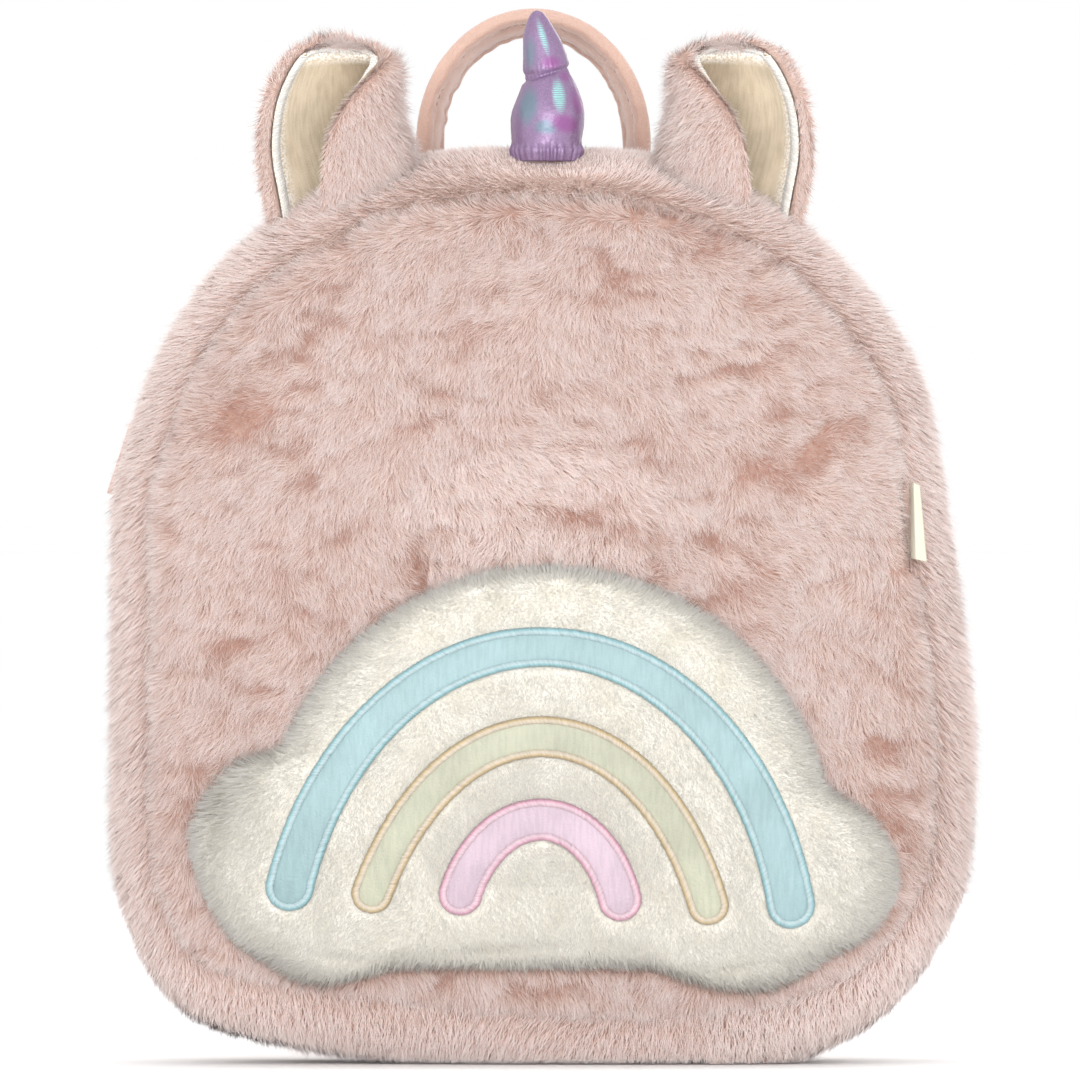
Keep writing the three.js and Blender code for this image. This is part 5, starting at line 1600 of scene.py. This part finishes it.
def seam_stitches(name, at, wide, thick, offset, height, material, pitch=3.0, bead=0.28):
    """Lines of short raised stitches: every pitch along the line, a stitch two thirds as long, as a bar
    of six sides with tapered ends."""
    far = running_length(at)
    start = np.arange(2.0, far[-1] - 2, pitch)
    rise = np.array([-0.2, 0.6, 1.0, 0.6, -0.2]) * bead * 1.4
    thin = np.array([0.5, 1.0, 1.1, 1.0, 0.5]) * bead
    places = start[:, None] + np.linspace(0, pitch * 0.68, 5)[None]

    p = sample(places, far, at)
    w, t = unit(sample(places, far, wide)), unit(sample(places, far, thick))
    p = p + w * offset + t * (height + rise)[None, :, None]
    turn = np.linspace(0, 2 * np.pi, 6, endpoint=False)
    ring = w[:, :, None] * np.cos(turn)[:, None] + t[:, :, None] * np.sin(turn)[:, None]
    points = p[:, :, None] + ring * thin[None, :, None, None]
    quads = grid_faces(5, 6)[None] + (np.arange(len(start)) * 30)[:, None, None]
    made = make_mesh(name, points.reshape(-1, 3), quads.reshape(-1, 4))
    return finish_piece(made, material)


class BACKPACK_OT_carry_loop(PieceOperator):
    """Make the padded velour carrying loop with its stitched edge"""

    bl_idname = "backpack.carry_loop"
    bl_label = "Carrying loop"

    def build(self, s):
        foot = s["body_height"] + 1
        drop = np.linspace(16, 0, 12)[:-1]
        turn = np.concatenate([0 * drop, np.linspace(0, np.pi, 140), 0 * drop + np.pi])
        down = np.concatenate([drop, np.zeros(140), drop[::-1]])
        lean = math.radians(15)
        out = [np.cos(turn) * s["loop_rise"], 0 * turn, np.sin(turn) * s["loop_half_width"]]
        out = unit(np.stack(out, axis=1))
        at = np.stack(
            [
                -2.6 + s["loop_half_width"] * np.cos(turn),
                32 + 0 * turn,
                foot + s["loop_rise"] * np.sin(turn) - down,
            ],
            axis=1,
        )
        at = at - out * s["loop_width"] / 2 * math.sin(lean)
        front = np.array([0, -1.0, 0])
        wide = front * math.cos(lean) + out * math.sin(lean)
        thick = out * math.cos(lean) - front * math.sin(lean)
        rings = band_rings(at, wide, thick, padded_section(s["loop_width"], s["loop_thickness"], 4.6))
        wrinkle = noise(rings * [1, 0.35, 1], 2.6, 61)[..., None]
        round_it = np.sin(np.linspace(0, 2 * np.pi, 48, endpoint=False))[None, :, None]
        inner, calm = round_it < 0, np.abs(round_it)
        rings = rings + thick[:, None] * wrinkle * np.where(inner, 0.6, 0.1) * calm
        velour = velour_material("loop velour", colour("velour"))
        finish_piece(closed_rings("loop_velour", rings), velour, ["carry_loop"])
        thread = velour_material("loop thread", scaled(colour("velour"), 0.8))
        half = s["loop_width"] / 2 - 4.6
        for name, way in (("top", 1), ("under", -1)):
            height = s["loop_thickness"] / 2 * 0.66
            seam_stitches(
                f"loop_stitches_{name}", at, wide, thick * way, half, height, thread, 2.4, 0.22
            )


def off_the_back(s, rows, side):
    """Rows of across, off the back and up, as shares, as points in millimetres."""
    back = s["seam_half_depth"] + s["back_bulge"]
    across, off, up = rows.T
    points = [side * across * s["body_half_width"], back + off * s["strap_standoff"], up * s["body_height"]]
    return np.stack(points, axis=1)


def strap_ways(at):
    """Directions across and off a strap: across is level and square to the line."""
    along = unit(np.gradient(at, axis=0))
    wide = unit(np.array([1.0, 0, 0]) - along * along[:, :1])
    return along, wide, np.cross(wide, along)


class BACKPACK_OT_straps(PieceOperator):
    """Make the shoulder straps, their webbing and their sliders"""

    bl_idname = "backpack.straps"
    bl_label = "Shoulder straps"

    def webbing(self, s, side, at, along, wide, thick):
        """The webbing's line: under the strap's end, woven through the slider, then down to the bag."""
        end, down, off, across = at[-1], along[-1], thick[-1], wide[-1]
        weave = 1.0 + s["gap"] + s["webbing_thickness"] / 2
        under = s["strap_thickness"] / 2 + s["gap"] + s["webbing_thickness"] / 2 - weave
        middle = end + down * 15 - off * under
        drops = np.array([-31, -10, -5.625, -2.875, 2.875, 5.625, 10.0])
        outs = np.array([-1, -1, -1, 1, 1, -1, -1]) * weave
        woven = middle + drops[:, None] * down + outs[:, None] * off
        tail = off_the_back(s, WEBBING_TAIL, side)
        hung = spline(np.concatenate([woven[-2:], tail]), 120)[34:]
        line = even(np.concatenate([woven, hung]), 160, closed=False)
        smooth = line.copy()
        smooth[2:-2] = (line[:-4] + line[1:-3] + line[2:-2] + line[3:-1] + line[4:]) / 5
        step = unit(np.gradient(smooth, axis=0))
        facing = unit(np.cross(step, across))
        return smooth, np.cross(facing, step), facing

    def build(self, s):
        velour = velour_material("strap velour", colour("velour"))
        thread = velour_material("strap thread", scaled(colour("velour"), 0.8))
        web = woven_material("strap webbing", scaled(colour("velour"), 0.9), 1.3)
        plastic = plastic_material("slider plastic", colour("plastic"))
        for side, name in ((1, "right"), (-1, "left")):
            at = even(spline(off_the_back(s, STRAP_LINE, side), 400), 160, closed=False)
            along, wide, thick = strap_ways(at)
            keep = at[:, 1] > s["seam_half_depth"] + 3
            line, across, off = at[keep], wide[keep], thick[keep]
            rings = band_rings(line, across, off, padded_section(s["strap_width"], s["strap_thickness"], 5))
            rings = rings + off[:, None] * noise(rings, 9, 71)[..., None] * 0.25
            finish_piece(
                closed_rings(f"strap_{name}_velour", rings), velour, [f"shoulder_strap_{name}"]
            )
            for edge in (-1, 1):
                seam_stitches(
                    f"strap_{name}_stitches_{'inner' if edge * side < 0 else 'outer'}",
                    line,
                    across,
                    off,
                    edge * (s["strap_width"] / 2 - 5),
                    s["strap_thickness"] / 2 * 0.64,
                    thread,
                )
            line, across, off = self.webbing(s, side, at, along, wide, thick)
            section = padded_section(s["webbing_width"], s["webbing_thickness"], -9, 24)
            rings = band_rings(line, across, off, section)
            far = running_length(line)
            uv = np.stack(np.broadcast_arrays(far[:, None], section[None, :, 0]), axis=-1)
            finish_piece(closed_rings(f"webbing_{name}", rings, uv), web, [f"strap_webbing_{name}"])
            keep_node(f"strap_slider_{name}", plastic, 0.0006)


class BACKPACK_OT_zipper(PieceOperator):
    """Make the zipper's tape, its coil and its pull"""

    bl_idname = "backpack.zipper"
    bl_label = "Zipper"

    def build(self, s):
        at, normal = outline(s, 720)
        top = at[:, 1] > 155.5
        at, normal = at[top], normal[top]
        share = ZIPPER_Y / s["seam_half_depth"]
        base = at - normal * (seam_inset(s, normal) * share**2.4)[:, None]
        far = running_length(base)
        y = np.array([-6.6, -6.6, -2.6, -0.2, 0.2, 2.6, 6.6, 6.6])
        deep = np.array([4.1, 3.2, 3.0, 3.2, 3.2, 3.0, 3.2, 4.1])
        flat = base[:, None] - normal[:, None] * deep[None, :, None]
        rings = np.stack([flat[..., 0], np.broadcast_to(ZIPPER_Y + y, flat.shape[:2]), flat[..., 1]], axis=-1)
        uv = np.stack(np.broadcast_arrays(far[:, None], y[None]), axis=-1)
        tape = woven_material("zipper tape", scaled(colour("velour"), 0.85), 0.9)
        finish_piece(closed_rings("zipper_tape", rings, uv), tape, ["zipper"])

        pitch = 1.4
        places = np.arange(0.8, far[-1] - 0.8, pitch / 2)
        hand = np.where(np.arange(len(places)) % 2 == 0, 1.0, -1.0)
        p, n = sample(places, far, base), unit(sample(places, far, normal))
        step = np.stack([-n[:, 1], n[:, 0]], axis=1)
        bend = np.linspace(0, np.pi, 5)
        reach = hand[:, None] * (2.3 - 3.0 * (bend / np.pi))[None]
        rise = 3.0 - 1.25 * np.sin(bend)
        turn = np.linspace(0, 2 * np.pi, 5, endpoint=False)
        centre_line = p[:, None] - n[:, None] * rise[None, :, None]
        ring = np.stack([np.cos(turn), np.sin(turn)], axis=1) * 0.4
        ring = ring[None, None]
        way = centre_line[:, :, None] + step[:, None, None] * ring[..., :1] + n[:, None, None] * ring[..., 1:]
        depth = np.broadcast_to((ZIPPER_Y + reach)[:, :, None], way.shape[:3])
        points = np.stack([way[..., 0], depth, way[..., 1]], axis=-1)
        quads = grid_faces(5, 5)[None] + (np.arange(len(places)) * 25)[:, None, None]
        coil = make_mesh("zipper_coil", points.reshape(-1, 3), quads.reshape(-1, 4))
        finish_piece(coil, plastic_material("zipper coil", scaled(colour("plastic"), 0.92)))

        keep_node("zip_pull", plastic_material("zip pull", colour("plastic")), 0.0004)


class BACKPACK_OT_label(PieceOperator):
    """Make the small folded blank label in the side seam"""

    bl_idname = "backpack.label"
    bl_label = "Side label"

    def build(self, s):
        half = s["label_length"] / 2
        up = np.linspace(-half, half, 40)
        out = np.linspace(0, 1, 14)
        at, normal = outline(s, 720)
        right = (at[:, 0] > 0) & (at[:, 1] > 60)
        inset = seam_inset(s, normal)
        seam_x = np.interp(s["label_height"] + up, at[right][:, 1], (at[:, 0] - normal[:, 0] * inset)[right])
        seam_y = -(s["seam_half_depth"] + 0.4)
        reach = 3.75 - 1.05 * (up / half)[:, None]
        x = seam_x.mean() + reach * out[None]
        bow = 0.6 * np.sin(np.pi * out)[None] + 0.3 * np.sin(up / 5)[:, None] * out[None]
        y = seam_y - bow + 1.2 * out[None] ** 2 - 4.4 * np.minimum(out[None] * 3, 1)
        z = s["label_height"] + up[:, None] - 1.0 * out[None]
        front = np.stack([x, y, z + 0 * x], axis=-1)
        back = front[:, ::-1] + [0.2, 1.1, 0]
        rings = np.concatenate([front, back], axis=1)
        uv = np.stack([rings[..., 2], rings[..., 0]], axis=-1)
        label = closed_rings("side_label_tape", rings, uv)
        finish_piece(label, woven_material("label tape", colour("label"), 0.55, 0.6), ["side_label"])


class BACKPACK_OT_stage(PieceOperator):
    """Set the pale floor, the studio lights and the camera"""

    bl_idname = "backpack.stage"
    bl_label = "Stage"

    def light(self, name, kind, energy, size, location, target):
        data = bpy.data.lights.new(name, kind)
        data.energy = energy
        data.size = size
        lamp = bpy.data.objects.new(name, data)
        bpy.context.scene.collection.objects.link(lamp)
        lamp.location = location
        way = np.array(target) - np.array(location)
        lamp.rotation_euler = (
            math.atan2(math.hypot(way[0], way[1]), -way[2]),
            0,
            math.atan2(way[1], way[0]) - math.pi / 2,
        )

    def build(self, s):
        scene = bpy.context.scene
        across = np.linspace(-1, 1, 9) * 200000
        grid = np.stack([*np.meshgrid(across, across, indexing="ij"), np.zeros((9, 9))], axis=-1)
        floor = make_mesh("floor", grid.reshape(-1, 3), grid_faces(9, 9, wrap_columns=False))
        made, tree, shader = new_material("pale floor")
        tone = add_node(tree, "ShaderNodeTexNoise", Vector=place(tree), Scale=2.0, Detail=1.0)
        tree.links.new(
            ramp(tree, tone.outputs[0], [(0.0, (0.96, 0.96, 0.96, 1)), (1.0, (0.98, 0.98, 0.98, 1))]),
            shader.inputs["Base Color"],
        )
        set_inputs(shader, Roughness=0.9, Emission_Color=(1, 1, 1, 1), Emission_Strength=0.03)
        floor.data.materials.append(made)

        self.light("key", "AREA", 5.8, 1.2, (-0.9, -1.7, 1.2), (0, 0, 0.15))
        self.light("fill", "AREA", 5.2, 1.6, (0.9, -1.9, 0.45), (0, 0, 0.12))
        self.light("low", "AREA", 24, 1.0, (0, -1.6, 0.05), (0, 0, 0.03))
        self.light("left side", "AREA", 4.5, 1.4, (-2.0, -0.5, 0.3), (0, 0, 0.12))
        self.light("right side", "AREA", 6, 1.4, (2.0, -0.5, 0.3), (0, 0, 0.12))
        self.light("top", "AREA", 2.4, 1.2, (0.1, 0.2, 1.7), (0, 0, 0.2))
        self.light("back", "AREA", 16, 1.6, (0.6, 2.3, 0.7), (0, 0, 0.12))
        world = bpy.data.worlds.new("studio")
        world.use_nodes = True
        world.node_tree.nodes["Background"].inputs[0].default_value = (1, 1, 1, 1)
        world.node_tree.nodes["Background"].inputs[1].default_value = 1.0
        scene.world = world
        scene.view_settings.view_transform = "Standard"

        data = bpy.data.cameras.new("camera")
        data.lens = 600
        data.sensor_width = 36
        camera = bpy.data.objects.new("camera", data)
        scene.collection.objects.link(camera)
        distance = 0.324 * data.lens / data.sensor_width
        camera.location = (-0.0006, -0.05 - distance, 0.158)
        camera.rotation_euler = (math.pi / 2, 0, 0)
        data.clip_end = 300
        scene.camera = camera


class BACKPACK_PT_panel(bpy.types.Panel):
    """Sizes, colours and the operators that make the pieces"""

    bl_label = "Backpack"
    bl_idname = "BACKPACK_PT_panel"
    bl_space_type = "VIEW_3D"
    bl_region_type = "UI"
    bl_category = "Backpack"

    def draw(self, context):
        layout = self.layout
        for group in (context.scene.backpack_sizes, context.scene.backpack_colours):
            for name in group.__annotations__:
                layout.prop(group, name)
        for made in PIECES:
            layout.operator(made.bl_idname)


PIECES = (
    BACKPACK_OT_stage,
    BACKPACK_OT_shells,
    BACKPACK_OT_long_pile,
    BACKPACK_OT_cloud,
    BACKPACK_OT_rainbow,
    BACKPACK_OT_ears,
    BACKPACK_OT_horn,
    BACKPACK_OT_carry_loop,
    BACKPACK_OT_straps,
    BACKPACK_OT_zipper,
    BACKPACK_OT_label,
)


def register():
    for group in (BackpackSizes, BackpackColours, *PIECES, BACKPACK_PT_panel):
        bpy.utils.register_class(group)
    bpy.types.Scene.backpack_sizes = bpy.props.PointerProperty(type=BackpackSizes)
    bpy.types.Scene.backpack_colours = bpy.props.PointerProperty(type=BackpackColours)


def unregister():
    del bpy.types.Scene.backpack_colours
    del bpy.types.Scene.backpack_sizes
    for group in (BACKPACK_PT_panel, *reversed(PIECES), BackpackColours, BackpackSizes):
        bpy.utils.unregister_class(group)


def main():
    register()
    for made in PIECES:
        group, name = made.bl_idname.split(".")
        getattr(getattr(bpy.ops, group), name)()


if __name__ == "__main__":
    main()
